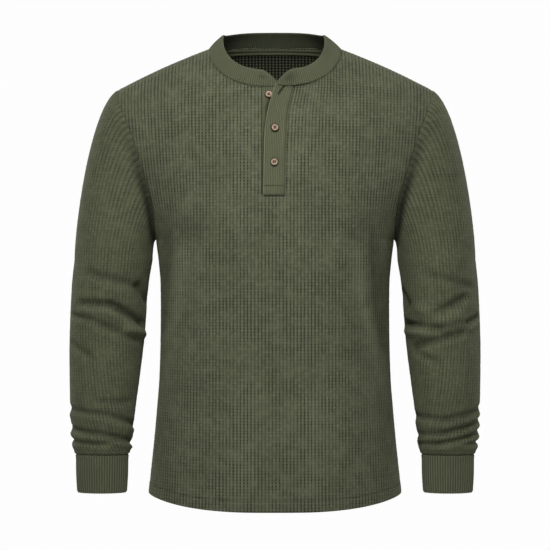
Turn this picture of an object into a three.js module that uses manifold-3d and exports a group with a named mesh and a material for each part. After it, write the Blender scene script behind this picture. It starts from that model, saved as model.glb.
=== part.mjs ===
// A long-sleeved henley shirt in waffle knit, filled out as if worn.
// Millimetres, +Z up. The front faces -Y and the wearer's left is +X.
// The origin is midway between the two high shoulder points, where the shirt hangs on the shoulders.
import * as THREE from 'three';
import { mergeVertices } from 'three/addons/utils/BufferGeometryUtils.js';
import Module from 'manifold-3d';

const wasm = await Module();
wasm.setup();

// Driving dimensions
const SEAM_GAP = 0.35;          // between two pieces that are sewn together
const KNIT_WALL = 1.6;          // waffle knit
const RIB_WALL = 2.4;           // doubled rib of the neckband and cuffs
const STRIP_WALL = 1.8;         // doubled rib of the plackets
const HEM_HEIGHT = 17;
const HEM_PROUD = 0.6;          // the turned-up layer shows as a step
const HEM_SIDE_LEVEL = -690;
const HEM_STEP = 1.5;           // height over which the step falls back to the panel
const HEM_DROP = 18.5;          // the hem is lower at the front and back centre
const HEM_CURVE = 3;            // how late the hem rises towards the side seams
const HALF_HEM = 197;

const NECK_POINT = 101;         // half the neck width at the shoulder seam
const SHOULDER_POINT = 244;     // half the shoulder width
const SHOULDER_SLOPE = 0.45;
const SHOULDER_FULLNESS = 2.8;  // the shoulder line is slightly rounded
const NECK_ROOT_RISE = 0.6;     // how much faster the body rises inside the neck point
const SHOULDER_ROLL = 112;      // height over which the chest rounds over to the shoulder seam
const UNDERARM_LEVEL = -298;
const ARMHOLE_MIDDLE = (UNDERARM_LEVEL - SHOULDER_SLOPE * (SHOULDER_POINT - NECK_POINT)) / 2;
const ARMHOLE_HALF_HEIGHT = ARMHOLE_MIDDLE - UNDERARM_LEVEL;

const FRONT_NECK_DROP = 66;
const BACK_NECK_RISE = 10;
const NECK_CURVE = 2.6;         // how square the neckline is at the front
const BACK_NECK_CURVE = 3;      // and how flat at the back

const SLOT_LEFT = -19.8;        // placket slot in the front panel
const SLOT_RIGHT = 14.4;
const SLOT_BOTTOM = -233;
const SLOT_REACH = 12;          // the first row above this far under the bottom is moved onto it

// Half width and half depths of the body at each level
const BODY = [
  { level: 60, edge: 244, front: 70, back: 82 },
  { level: 10, edge: 244, front: 76, back: 93 },
  { level: -66, edge: 244, front: 88, back: 96 },
  { level: -86, edge: 240, front: 95, back: 101 },
  { level: -104, edge: 234, front: 100, back: 105 },
  { level: -124, edge: 225, front: 106, back: 109 },
  { level: -158, edge: 213.5, front: 114, back: 114 },
  { level: -194, edge: 202.5, front: 121, back: 116 },
  { level: -234, edge: 191.5, front: 126, back: 114 },
  { level: -264, edge: 187, front: 127, back: 112 },
  { level: -298, edge: 185, front: 126, back: 109 },
  { level: -330, edge: 181, front: 124, back: 106 },
  { level: -367, edge: 178, front: 121, back: 102 },
  { level: -451, edge: 178, front: 117, back: 100 },
  { level: -516, edge: 180, front: 116, back: 104 },
  { level: -554, edge: 183, front: 116, back: 108 },
  { level: -610, edge: 188, front: 117, back: 112 },
  { level: -657, edge: 193, front: 118, back: 113 },
  { level: -700, edge: 197, front: 119, back: 113 },
  { level: -740, edge: 200, front: 120, back: 113 },
];

// Each panel's sections: a superellipse whose two powers change from the body to the upper chest
const SIDES = {
  front: { sign: -1, armholeDepth: 62, square: 2.5, round: 2.1, upperSquare: 1.9, upperRound: 1.15 },
  back: { sign: 1, armholeDepth: 60, square: 2.4, round: 2.1, upperSquare: 2.1, upperRound: 1.2 },
};

// Soft drapes of the body: from (u0, z0) to (u1, z1), where u is x, how wide and how far out
const FRONT_DRAPES = [
  { u0: -150, z0: -330, u1: -180, z1: -560, width: 13, out: 5 },
  { u0: -122, z0: -400, u1: -142, z1: -640, width: 17, out: -4 },
  { u0: 137, z0: -352, u1: 176, z1: -560, width: 13, out: 5.5 },
  { u0: 112, z0: -420, u1: 140, z1: -650, width: 17, out: -4 },
  { u0: -176, z0: -262, u1: -110, z1: -292, width: 12, out: -3 },
  { u0: 176, z0: -262, u1: 108, z1: -300, width: 12, out: -3 },
  { u0: -40, z0: -520, u1: -52, z1: -700, width: 26, out: 3 },
  { u0: 52, z0: -540, u1: 60, z1: -700, width: 26, out: 3 },
];
const BACK_DRAPES = [
  { u0: -150, z0: -330, u1: -168, z1: -560, width: 15, out: 5 },
  { u0: 148, z0: -340, u1: 170, z1: -570, width: 15, out: 5 },
  { u0: -60, z0: -340, u1: -48, z1: -560, width: 26, out: 4 },
  { u0: 58, z0: -360, u1: 44, z1: -590, width: 26, out: 4 },
  { u0: -120, z0: -420, u1: -70, z1: -470, width: 14, out: -3 },
  { u0: 118, z0: -440, u1: 60, z1: -482, width: 14, out: -3 },
];

// Sleeve sections below the armhole: centre and half sizes at each level
const SLEEVE = [
  { level: -328, x: 251.5, y: -1, wide: 60.4, deep: 63 },
  { level: -367, x: 256.6, y: -2, wide: 59.3, deep: 62 },
  { level: -451, x: 261.3, y: -7, wide: 57.7, deep: 58 },
  { level: -516, x: 264.6, y: -14, wide: 53.6, deep: 52 },
  { level: -563, x: 266.6, y: -21, wide: 49.8, deep: 45 },
  { level: -600, x: 266.8, y: -26, wide: 46.8, deep: 38 },
  { level: -619, x: 266.8, y: -28.5, wide: 44.6, deep: 32 },
  { level: -628, x: 266.8, y: -30, wide: 41, deep: 26 },
];
const SLEEVE_END = -628;
const SLEEVE_TURN_LEVEL = -328;
const CAP_PULL = { top: 125, bottom: 26, turn: 150 };   // how long the cap keeps its direction
const CAP_LEAVES = new THREE.Vector3(0.88, 0, -0.47);   // direction in which the sleeve leaves the armhole
const CREASE_RADIUS = 52;       // a crease's angles become lengths at this radius

// Creases of the sleeves: angle from the front, positive to the outside, then levels, width, depth
const CREASES = {
  right: [
    { a0: 62, z0: -393, a1: -68, z1: -430, width: 8, out: -5 },
    { a0: -20, z0: -378, a1: -80, z1: -404, width: 8, out: 4 },
    { a0: 82, z0: -416, a1: 14, z1: -428, width: 6, out: -4 },
    { a0: 8, z0: -438, a1: -40, z1: -455, width: 6, out: -3 },
    { a0: -30, z0: -440, a1: -85, z1: -450, width: 8, out: 3 },
    { a0: 100, z0: -404, a1: 170, z1: -392, width: 8, out: -4 },
    { a0: 85, z0: -563, a1: -75, z1: -588, width: 6, out: -3 },
    { a0: 80, z0: -592, a1: -80, z1: -614, width: 6, out: -4 },
    { a0: 95, z0: -612, a1: 35, z1: -615, width: 5, out: -3 },
    { a0: 110, z0: -578, a1: 250, z1: -590, width: 7, out: -3 },
    { a0: 100, z0: -604, a1: 255, z1: -612, width: 6, out: -4 },
  ],
  left: [
    { a0: 66, z0: -384, a1: 8, z1: -410, width: 8, out: -4 },
    { a0: -30, z0: -426, a1: -78, z1: -426, width: 7, out: -5 },
    { a0: 72, z0: -437, a1: -14, z1: -462, width: 7, out: -4 },
    { a0: -78, z0: -392, a1: -38, z1: -366, width: 8, out: 4 },
    { a0: -60, z0: -454, a1: 10, z1: -432, width: 8, out: 4 },
    { a0: 100, z0: -420, a1: 175, z1: -404, width: 8, out: -4 },
    { a0: 75, z0: -567, a1: -45, z1: -580, width: 6, out: -3 },
    { a0: 84, z0: -593, a1: -72, z1: -616, width: 6, out: -4 },
    { a0: 95, z0: -616, a1: 40, z1: -617, width: 5, out: -3 },
    { a0: 110, z0: -584, a1: 250, z1: -576, width: 7, out: -3 },
    { a0: 100, z0: -608, a1: 255, z1: -602, width: 6, out: -4 },
  ],
};

const CUFF = {
  top: { level: -628.4, x: 266.8, y: -30, wide: 40.1, deep: 25 },
  bottom: { level: -687, x: 266.4, y: -36, wide: 38.1, deep: 23 },
  belly: 0.8,                   // how far the middle of the cuff stands out
};

// Neckband: how far it leans in and rises, from its seam to its top edge
const BAND = {
  front: { lean: 7, rise: 25 },
  side: { lean: 24.5, rise: 22 },
  back: { lean: 10, rise: 22.8 },
};
const BAND_GAP = 0.5;           // over the edges that it is sewn to
const BAND_BULGE = 1.3;
// How its ends are rounded off: over what length, and down to what share of its height
const BAND_ENDS = {
  left: { length: 26, least: 0.33 },
  right: { length: 30, least: 0.1 },
};
const BAND_RIGHT_END = 8;       // the wearer's right end runs on under the flap
const BAND_LEFT_END = 4;        // the wearer's left end goes over into the flap's free edge
const BAND_ON_FLAP = 26;        // the band is sewn to the flap as far as this from the middle
const BAND_ON_PANEL = 31;       // and to the panel from here on
const BAND_STEP = { end: 62, run: 30 };   // where it comes down from the flap's level

// Placket flap: its free edge and its sewn edge at each level
const FLAP = [
  { level: -40, free: 6, sewn: 30.5 },
  { level: -61, free: 3, sewn: 30 },
  { level: -76, free: -3, sewn: 27.5 },
  { level: -88, free: -6.4, sewn: 24.5 },
  { level: -103, free: -10.5, sewn: 21.5 },
  { level: -133, free: -15.7, sewn: 19.2 },
  { level: -168, free: -17, sewn: 17.6 },
  { level: -219, free: -18, sewn: 16.8 },
  { level: -240, free: -18, sewn: 16.8 },
];
const FLAP_BOTTOM = -237;
const FLAP_TOP = -64;           // about where it meets the neckline
const FLAP_OVER_EDGE = 2.4;     // the flap covers the edge of the slot
const FLAP_CLEAR = 0.45;        // flap over the panel
const FLAP_LIFT = { most: 7, from: -142, to: -70 };

const TAPE = { half: 80, height: 11, wall: 1, clear: 0.35 };

const BUTTON = {
  radius: 6.5,
  wall: 2.6,
  bevel: 0.9,
  edge: 0.5,
  rim: 1,
  dish: 0.7,
  hole: 0.95,
  holeSpread: 1.85,
};
const BUTTONS = [
  { name: 'button_top', x: -9.3, level: -80, on: 'strip' },
  { name: 'button_middle', x: 0, level: -132, on: 'flap' },
  { name: 'button_bottom', x: -1, level: -184, on: 'flap' },
];

const COLOURS = { knit: 0x57593f, rib: 0x595c44, tape: 0x35392a, button: 0xa98f78 };

// How finely the pieces are divided
const ROWS = { below: 13, above: 12 };                    // of a panel, below and above the underarm
const INNER_COLUMNS = [SLOT_LEFT, -7, 4, SLOT_RIGHT];     // of a panel, in the middle
const NECK_SIDE_STEPS = 6;
const SIDE_STEPS = 8;
const TOP_EDGE_LEVEL = -50;                               // where the top edge's columns are placed
const SLEEVE_STEPS = { cap: 7, arm: 21 };
const CUFF_STEPS = { around: 28, down: 4 };
const FLAP_STEPS = { across: 6, up: 16 };
const STRIP_COLUMNS = [SLOT_LEFT + SEAM_GAP, -8, 3, SLOT_RIGHT - SEAM_GAP];
const STRIP_ROWS = 12;
const BAND_STATIONS_ON_STRIP = [-8, 0, BAND_RIGHT_END];
const BAND_RISES = [0, 0.12, 0.4, 0.7, 1];
const BUTTON_SIDES = { disc: 24, hole: 8 };

// Small helpers
const clamp01 = (value) => Math.min(1, Math.max(0, value));
const smooth = (value) => clamp01(value) ** 2 * (3 - 2 * clamp01(value));
const mix = (a, b, share) => a + (b - a) * share;

// A smooth curve through one column of a table whose levels fall from row to row
function column(table, name, level) {
  const last = table.length - 1;
  if (level >= table[0].level) return table[0][name];
  if (level <= table[last].level) return table[last][name];
  let row = 0;
  while (level < table[row + 1].level) row += 1;
  const slope = (at) => {
    const before = table[Math.max(0, at - 1)];
    const after = table[Math.min(last, at + 1)];
    return (after[name] - before[name]) / (after.level - before.level);
  };
  const here = table[row];
  const next = table[row + 1];
  const span = next.level - here.level;
  const t = (level - here.level) / span;
  return here[name] * (1 + 2 * t) * (1 - t) ** 2 + next[name] * t ** 2 * (3 - 2 * t)
    + span * (slope(row) * t * (1 - t) ** 2 - slope(row + 1) * t ** 2 * (1 - t));
}

// How far folds push a point out: each is a soft ridge or trough along a straight stretch
function foldsAt(folds, across, along) {
  let out = 0;
  for (const fold of folds) {
    const run = Math.hypot(fold.u1 - fold.u0, fold.z1 - fold.z0);
    const du = (fold.u1 - fold.u0) / run;
    const dz = (fold.z1 - fold.z0) / run;
    const t = ((across - fold.u0) * du + (along - fold.z0) * dz) / run;
    const off = (across - fold.u0) * dz - (along - fold.z0) * du;
    const fade = smooth(t / 0.3 + 0.5) * smooth((1 - t) / 0.3 + 0.5);
    out += fold.out * fade * Math.exp(-((off / fold.width) ** 2));
  }
  return out;
}

// The body's surface

function crestLevel(x) {
  const inside = NECK_POINT - Math.abs(x);
  if (inside <= 0) {
    const run = inside / (NECK_POINT - SHOULDER_POINT);
    return inside * SHOULDER_SLOPE + SHOULDER_FULLNESS * Math.sin(Math.PI * run);
  }
  return inside * (SHOULDER_SLOPE + NECK_ROOT_RISE * (1 - inside / NECK_POINT));
}

function bodyDepth(side, x, level) {
  const edge = column(BODY, 'edge', level);
  const centre = column(BODY, side === SIDES.front ? 'front' : 'back', level);
  const share = clamp01(Math.abs(x) / edge);
  const below = clamp01((ARMHOLE_MIDDLE - level) / ARMHOLE_HALF_HEIGHT);
  const armhole = side.armholeDepth * Math.sqrt(1 - below ** 2);
  const upper = smooth((level - UNDERARM_LEVEL + 40) / (ARMHOLE_HALF_HEIGHT + 40));
  const square = mix(side.square, side.upperSquare, upper);
  const round = mix(side.round, side.upperRound, upper);
  const cut = (1 - (armhole / centre) ** round) ** (1 / square);
  const depth = centre * (1 - (share * cut) ** square) ** (1 / round);
  const roll = clamp01((crestLevel(x) - level) / SHOULDER_ROLL);
  return depth * Math.sqrt(1 - (1 - roll) ** 2);
}

function drapeAt(side, x, level) {
  const folds = side === SIDES.front ? FRONT_DRAPES : BACK_DRAPES;
  const share = clamp01(Math.abs(x) / column(BODY, 'edge', level));
  return foldsAt(folds, x, level) * (1 - share ** 8);
}

function bodyPoint(side, x, level) {
  const depth = Math.max(bodyDepth(side, x, level) + drapeAt(side, x, level), 0);
  return new THREE.Vector3(x, side.sign * (depth + SEAM_GAP / 2), level);
}

function bodyNormal(side, x, level) {
  const step = 1.5;
  const across = bodyPoint(side, x + step, level).sub(bodyPoint(side, x - step, level));
  const along = bodyPoint(side, x, level + step).sub(bodyPoint(side, x, level - step));
  const normal = across.cross(along).normalize();
  return normal.y * side.sign < 0 ? normal.negate() : normal;
}

function neckLevel(side, x) {
  const share = clamp01(Math.abs(x) / NECK_POINT);
  if (side === SIDES.front) return -FRONT_NECK_DROP * Math.sqrt(1 - share ** NECK_CURVE);
  return BACK_NECK_RISE * (1 - share ** BACK_NECK_CURVE);
}

function topLevel(side, x) {
  return Math.abs(x) < NECK_POINT ? neckLevel(side, x) : crestLevel(x);
}

function hemLevel(x) {
  const share = clamp01(Math.abs(x) / HALF_HEM);
  return HEM_SIDE_LEVEL - HEM_DROP * (1 - share ** HEM_CURVE);
}

// The slot's right side follows the flap's sewn edge, which spreads towards the neck
const slotFlare = (level) => column(FLAP, 'sewn', level) - FLAP_OVER_EDGE - SLOT_RIGHT;

// Grids of points become closed walls

function gridNormals(points, closed) {
  const rows = points.length;
  const columns = points[0].length;
  return points.map((row, r) => row.map((_, c) => {
    const left = closed ? (c + columns - 1) % columns : Math.max(0, c - 1);
    const right = closed ? (c + 1) % columns : Math.min(columns - 1, c + 1);
    const along = points[Math.min(rows - 1, r + 1)][c].clone().sub(points[Math.max(0, r - 1)][c]);
    const across = points[r][right].clone().sub(points[r][left]);
    return across.cross(along).normalize();
  }));
}

// Outer and inner points in rows going up and columns going anticlockwise seen from above
function wallGeometry(outer, inner, { closed = false, keep = () => true } = {}) {
  const rows = outer.length;
  const columns = outer[0].length;
  const cells = closed ? columns : columns - 1;
  const positions = [];
  const quad = (a, b, c, d) => {
    for (const point of [a, b, c, a, c, d]) positions.push(point.x, point.y, point.z);
  };
  const kept = (r, c) => {
    if (r < 0 || r >= rows - 1) return false;
    if (!closed && (c < 0 || c >= cells)) return false;
    return keep(r, (c + cells) % cells);
  };
  for (let r = 0; r < rows - 1; r += 1) {
    for (let c = 0; c < cells; c += 1) {
      if (!kept(r, c)) continue;
      const d = (c + 1) % columns;
      quad(outer[r][c], outer[r][d], outer[r + 1][d], outer[r + 1][c]);
      quad(inner[r][d], inner[r][c], inner[r + 1][c], inner[r + 1][d]);
      if (!kept(r - 1, c)) quad(inner[r][d], outer[r][d], outer[r][c], inner[r][c]);
      if (!kept(r + 1, c)) quad(outer[r + 1][c], outer[r + 1][d], inner[r + 1][d], inner[r + 1][c]);
      if (!kept(r, c - 1)) quad(inner[r][c], outer[r][c], outer[r + 1][c], inner[r + 1][c]);
      if (!kept(r, c + 1)) quad(outer[r][d], inner[r][d], inner[r + 1][d], outer[r + 1][d]);
    }
  }
  const geometry = new THREE.BufferGeometry();
  geometry.setAttribute('position', new THREE.Float32BufferAttribute(positions, 3));
  const merged = mergeVertices(geometry, 1e-4);
  merged.computeVertexNormals();
  return merged;
}

function piece(name, geometry, colour, roughness = 0.9) {
  const material = new THREE.MeshStandardMaterial({ color: colour, roughness, metalness: 0 });
  const mesh = new THREE.Mesh(geometry, material);
  mesh.name = name;
  return mesh;
}

const moved = (point, direction, distance) => point.clone().addScaledVector(direction, distance);

// Front and back panels

// Column stations: x inside the neck points, a share of the way to the edge outside them
function columnStations() {
  const stations = [];
  const eased = (i, steps) => Math.sin((i / steps) * Math.PI / 2);
  for (let i = SIDE_STEPS; i >= 1; i -= 1) stations.push({ hand: -1, share: eased(i, SIDE_STEPS) });
  for (let i = NECK_SIDE_STEPS; i >= 1; i -= 1) {
    stations.push({ x: mix(SLOT_LEFT, -NECK_POINT, eased(i, NECK_SIDE_STEPS)) });
  }
  for (const x of INNER_COLUMNS) stations.push({ x });
  for (let i = 1; i <= NECK_SIDE_STEPS; i += 1) {
    stations.push({ x: mix(SLOT_RIGHT, NECK_POINT, eased(i, NECK_SIDE_STEPS)) });
  }
  for (let i = 1; i <= SIDE_STEPS; i += 1) stations.push({ hand: 1, share: eased(i, SIDE_STEPS) });
  return stations;
}

function stationX(station, level, side) {
  if (station.hand) return station.hand * mix(NECK_POINT, column(BODY, 'edge', level), station.share);
  if (side === SIDES.back || station.x < SLOT_LEFT) return station.x;
  const spread = station.x < SLOT_RIGHT
    ? (station.x - SLOT_LEFT) / (SLOT_RIGHT - SLOT_LEFT)
    : (NECK_POINT - station.x) / (NECK_POINT - SLOT_RIGHT);
  return station.x + slotFlare(level) * spread;
}

function panel(side) {
  const stations = columnStations();
  if (side === SIDES.back) stations.reverse();
  const outer = [];
  const thickness = [];
  for (let r = 0; r <= ROWS.below; r += 1) {
    outer.push(stations.map((station) => {
      const bottom = hemLevel(stationX(station, HEM_SIDE_LEVEL, side));
      const hemTop = bottom + HEM_HEIGHT;
      const levels = [bottom, hemTop, hemTop + HEM_STEP];
      const level = r < 3 ? levels[r] : mix(levels[2], UNDERARM_LEVEL, (r - 2) / (ROWS.below - 2));
      return bodyPoint(side, stationX(station, level, side), level);
    }));
    thickness.push(r < 2 ? KNIT_WALL + HEM_PROUD : KNIT_WALL);
  }
  for (let r = 1; r <= ROWS.above; r += 1) {
    const share = (1 - Math.cos((r / ROWS.above) * Math.PI)) / 2;
    outer.push(stations.map((station) => {
      const top = topLevel(side, stationX(station, TOP_EDGE_LEVEL, side));
      const level = mix(UNDERARM_LEVEL, top, share);
      return bodyPoint(side, stationX(station, level, side), level);
    }));
    thickness.push(KNIT_WALL);
  }
  const normals = gridNormals(outer, false);
  const last = stations.length - 1;
  const topRow = outer.length - 1;
  normals.forEach((row, r) => row.forEach((normal, c) => {
    const sideSeam = r <= ROWS.below && (c === 0 || c === last);
    const shoulderSeam = r === topRow && stations[c].hand;
    const neckPoint = r === topRow && Math.abs(outer[r][c].x) > NECK_POINT - 0.5;
    if (sideSeam || shoulderSeam || neckPoint) normal.setY(0).normalize();
  }));
  const shifted = (away) => outer.map((row, r) => (
    row.map((point, c) => moved(point, normals[r][c], away(r)))));
  const inner = shifted(() => -KNIT_WALL);
  return { side, stations, outer: shifted((r) => thickness[r] - KNIT_WALL), inner, normals };
}

const front = panel(SIDES.front);
const back = panel(SIDES.back);

// The slot leaves out the cells between its two edges, from its bottom to the neck
const slotColumn = front.stations.findIndex((station) => station.x === SLOT_LEFT);
const slotRow = front.outer.findIndex((row) => row[slotColumn].z > SLOT_BOTTOM - SLOT_REACH);
for (let c = slotColumn; c < slotColumn + INNER_COLUMNS.length; c += 1) {
  const shift = SLOT_BOTTOM - front.outer[slotRow][c].z;
  const at = bodyPoint(SIDES.front, front.outer[slotRow][c].x, SLOT_BOTTOM);
  front.outer[slotRow][c].copy(at);
  front.inner[slotRow][c].y = at.y + KNIT_WALL;
  front.inner[slotRow][c].z += shift;
}
const inSlot = (r, c) => r >= slotRow && c >= slotColumn && c < slotColumn + INNER_COLUMNS.length - 1;
const frontGeometry = wallGeometry(front.outer, front.inner, { keep: (r, c) => !inSlot(r, c) });
const backGeometry = wallGeometry(back.outer, back.inner);

// Sleeves: the first ring is the armhole's own points, moved off the panels

function armholeRing(hand) {
  const edgeOf = (sheet) => (hand * sheet.side.sign < 0 ? sheet.stations.length - 1 : 0);
  const ring = [];
  const take = (sheet, r) => {
    const c = edgeOf(sheet);
    const grids = [sheet.outer, sheet.normals, sheet.inner];
    const [outer, normal, inner] = grids.map((grid) => grid[r][c].clone());
    return { outer, normal, inner };
  };
  const bottom = ROWS.below;
  const top = ROWS.below + ROWS.above;
  for (let r = top; r >= bottom; r -= 1) ring.push(take(front, r));
  for (let r = bottom + 1; r < top; r += 1) ring.push(take(back, r));
  for (const at of [0, top - bottom]) {
    for (const name of ['outer', 'inner']) ring[at][name].y = 0;
  }
  return ring;
}

function sleeveSection(hand, angle, level) {
  const x = column(SLEEVE, 'x', level);
  const y = column(SLEEVE, 'y', level);
  const wide = column(SLEEVE, 'wide', level);
  const deep = column(SLEEVE, 'deep', level);
  return new THREE.Vector3(hand * (x + wide * Math.sin(angle)), y - deep * Math.cos(angle), level);
}

function sleeve(hand, creases) {
  const ring = armholeRing(hand);
  const count = ring.length;
  const folds = creases.map((crease) => ({
    ...crease,
    u0: THREE.MathUtils.degToRad(crease.a0) * CREASE_RADIUS,
    u1: THREE.MathUtils.degToRad(crease.a1) * CREASE_RADIUS,
  }));
  const angles = ring.map((_, i) => Math.PI / 2 - (i / count) * Math.PI * 2);
  const leaves = new THREE.Vector3(hand * CAP_LEAVES.x, CAP_LEAVES.y, CAP_LEAVES.z).normalize();
  const away = ring.map((point, i) => {
    const tangent = ring[(i + 1) % count].outer.clone().sub(ring[(i + count - 1) % count].outer);
    const off = tangent.cross(point.normal).normalize();
    const intoHole = new THREE.Vector3(hand * SHOULDER_POINT, 0, ARMHOLE_MIDDLE).sub(point.outer);
    return off.dot(intoHole) < 0 ? off.negate() : off;
  });
  const starts = ring.map((point, i) => moved(point.outer, away[i], SEAM_GAP));
  const outer = [starts];
  for (let step = 1; step <= SLEEVE_STEPS.cap; step += 1) {
    const t = step / SLEEVE_STEPS.cap;
    outer.push(starts.map((start, i) => {
      const end = sleeveSection(hand, angles[i], SLEEVE_TURN_LEVEL);
      const high = (1 + Math.sin(angles[i])) / 2;
      const pull = mix(CAP_PULL.bottom, CAP_PULL.top, high);
      const turn = mix(CAP_PULL.bottom, CAP_PULL.turn, high);
      const point = start.clone().multiplyScalar((1 + 2 * t) * (1 - t) ** 2);
      point.addScaledVector(end, t ** 2 * (3 - 2 * t));
      const startWay = leaves.clone().multiplyScalar(0.65).addScaledVector(away[i], 0.5);
      point.addScaledVector(startWay, pull * t * (1 - t) ** 2);
      point.z += turn * t ** 2 * (1 - t);
      return point;
    }));
  }
  for (let step = 1; step <= SLEEVE_STEPS.arm; step += 1) {
    const t = step / SLEEVE_STEPS.arm;
    const level = mix(SLEEVE_TURN_LEVEL, SLEEVE_END, t * (1.15 - 0.15 * t));
    outer.push(angles.map((angle) => {
      const point = sleeveSection(hand, angle, level);
      const centre = new THREE.Vector3(hand * column(SLEEVE, 'x', level), column(SLEEVE, 'y', level), level);
      const fade = smooth((level - SLEEVE_END) / 12);
      const turns = [angle, angle + Math.PI * 2].map((a) => foldsAt(folds, a * CREASE_RADIUS, level));
      return moved(point, point.clone().sub(centre).normalize(), fade * (turns[0] + turns[1]));
    }));
  }
  // Rows go up and columns anticlockwise, as the wall needs
  outer.reverse();
  if (hand > 0) outer.forEach((row) => row.reverse());
  const normals = gridNormals(outer, true);
  const inner = outer.map((row, r) => row.map((point, c) => moved(point, normals[r][c], -KNIT_WALL)));
  const seam = ring.map((point, i) => moved(point.inner, away[i], SEAM_GAP));
  inner[inner.length - 1] = hand > 0 ? seam.reverse() : seam;
  return wallGeometry(outer, inner, { closed: true });
}

// Cuffs: tapered tubes

function cuff(hand) {
  const { around, down } = CUFF_STEPS;
  const outer = [];
  for (let r = down; r >= 0; r -= 1) {
    const t = r / down;
    const bulge = CUFF.belly * Math.sin(Math.PI * t);
    const wide = mix(CUFF.top.wide, CUFF.bottom.wide, t) + bulge;
    const deep = mix(CUFF.top.deep, CUFF.bottom.deep, t) + bulge;
    const x = hand * mix(CUFF.top.x, CUFF.bottom.x, t);
    const y = mix(CUFF.top.y, CUFF.bottom.y, t);
    const level = mix(CUFF.top.level, CUFF.bottom.level, t);
    outer.push(Array.from({ length: around }, (_, i) => {
      const angle = (i / around) * Math.PI * 2;
      return new THREE.Vector3(x + wide * Math.cos(angle), y + deep * Math.sin(angle), level);
    }));
  }
  const normals = gridNormals(outer, true);
  for (const row of normals) for (const normal of row) normal.setZ(0).normalize();
  const inner = outer.map((row, r) => row.map((point, c) => moved(point, normals[r][c], -RIB_WALL)));
  return wallGeometry(outer, inner, { closed: true });
}

// Placket flap and the strip under it, made from the front's surface

function flapLift(share, level) {
  const open = smooth((level - FLAP_LIFT.from) / (FLAP_LIFT.to - FLAP_LIFT.from));
  return FLAP_LIFT.most * open * share ** 1.6;
}

function flapX(share, level) {
  return mix(column(FLAP, 'sewn', level), column(FLAP, 'free', level), share);
}

function flap() {
  const { across, up } = FLAP_STEPS;
  const outer = [];
  const inner = [];
  for (let r = 0; r <= up; r += 1) {
    outer.push([]);
    inner.push([]);
    for (let c = across; c >= 0; c -= 1) {
      const share = c / across;
      const top = neckLevel(SIDES.front, flapX(share, FLAP_TOP));
      const level = mix(FLAP_BOTTOM, top, r / up);
      const x = flapX(share, level);
      const normal = bodyNormal(SIDES.front, x, level);
      const low = moved(bodyPoint(SIDES.front, x, level), normal, FLAP_CLEAR + flapLift(share, level));
      inner[r].push(low);
      outer[r].push(moved(low, normal, STRIP_WALL));
    }
  }
  return { outer, inner, geometry: wallGeometry(outer, inner) };
}

function underStrip() {
  const outer = [];
  const inner = [];
  for (let r = 0; r <= STRIP_ROWS; r += 1) {
    outer.push([]);
    inner.push([]);
    for (const x of STRIP_COLUMNS) {
      const level = mix(SLOT_BOTTOM + SEAM_GAP, neckLevel(SIDES.front, x), r / STRIP_ROWS);
      const point = bodyPoint(SIDES.front, x, level);
      const normal = bodyNormal(SIDES.front, x, level);
      normal.x = 0;
      outer[r].push(point);
      inner[r].push(moved(point, normal.normalize(), -STRIP_WALL));
    }
  }
  return wallGeometry(outer, inner);
}

// Neckband: it stands on the edges of both panels and of the two placket strips

function bandStations(flapGrid) {
  const stations = [];
  const add = (outer, inner, normal) => {
    stations.push({ outer: outer.clone(), inner: inner.clone(), normal: normal.clone() });
  };
  const topRow = front.outer.length - 1;
  const fromPanel = (sheet, c) => {
    add(sheet.outer[topRow][c], sheet.inner[topRow][c], sheet.normals[topRow][c]);
  };
  const insideNeck = (sheet) => sheet.stations
    .map((_, c) => c)
    .filter((c) => Math.abs(sheet.outer[topRow][c].x) < NECK_POINT - 0.5);
  const middle = (hand) => {
    const c = front.outer[topRow].findIndex((point) => Math.abs(point.x - hand * NECK_POINT) < 0.5);
    fromPanel(front, c);
    const station = stations[stations.length - 1];
    station.outer.y = 0;
    station.inner.y = 0;
  };
  const flapTop = flapGrid.outer.length - 1;
  const flapColumns = flapGrid.outer[0].length;
  for (let c = 0; c < flapColumns; c += 1) {
    const outer = flapGrid.outer[flapTop][c];
    if (outer.x < BAND_LEFT_END || outer.x > BAND_ON_FLAP) continue;
    const normal = outer.clone().sub(flapGrid.inner[flapTop][c]).normalize();
    add(outer, flapGrid.inner[flapTop][c], normal);
  }
  const frontInside = insideNeck(front);
  for (const c of frontInside.filter((at) => front.outer[topRow][at].x > BAND_ON_PANEL)) {
    fromPanel(front, c);
    const station = stations[stations.length - 1];
    const ride = (STRIP_WALL + FLAP_CLEAR) * smooth((BAND_STEP.end - station.outer.x) / BAND_STEP.run);
    station.outer.addScaledVector(station.normal, ride);
    station.inner.addScaledVector(station.normal, ride);
  }
  middle(1);
  for (const c of insideNeck(back)) fromPanel(back, c);
  middle(-1);
  const leftOfSlot = frontInside.filter((at) => front.outer[topRow][at].x <= SLOT_LEFT + 0.01);
  for (const c of leftOfSlot) fromPanel(front, c);
  for (const x of BAND_STATIONS_ON_STRIP) {
    const level = neckLevel(SIDES.front, x);
    const point = bodyPoint(SIDES.front, x, level);
    const normal = bodyNormal(SIDES.front, x, level);
    add(point, moved(point, normal, -KNIT_WALL), normal);
  }
  return stations;
}

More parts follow.
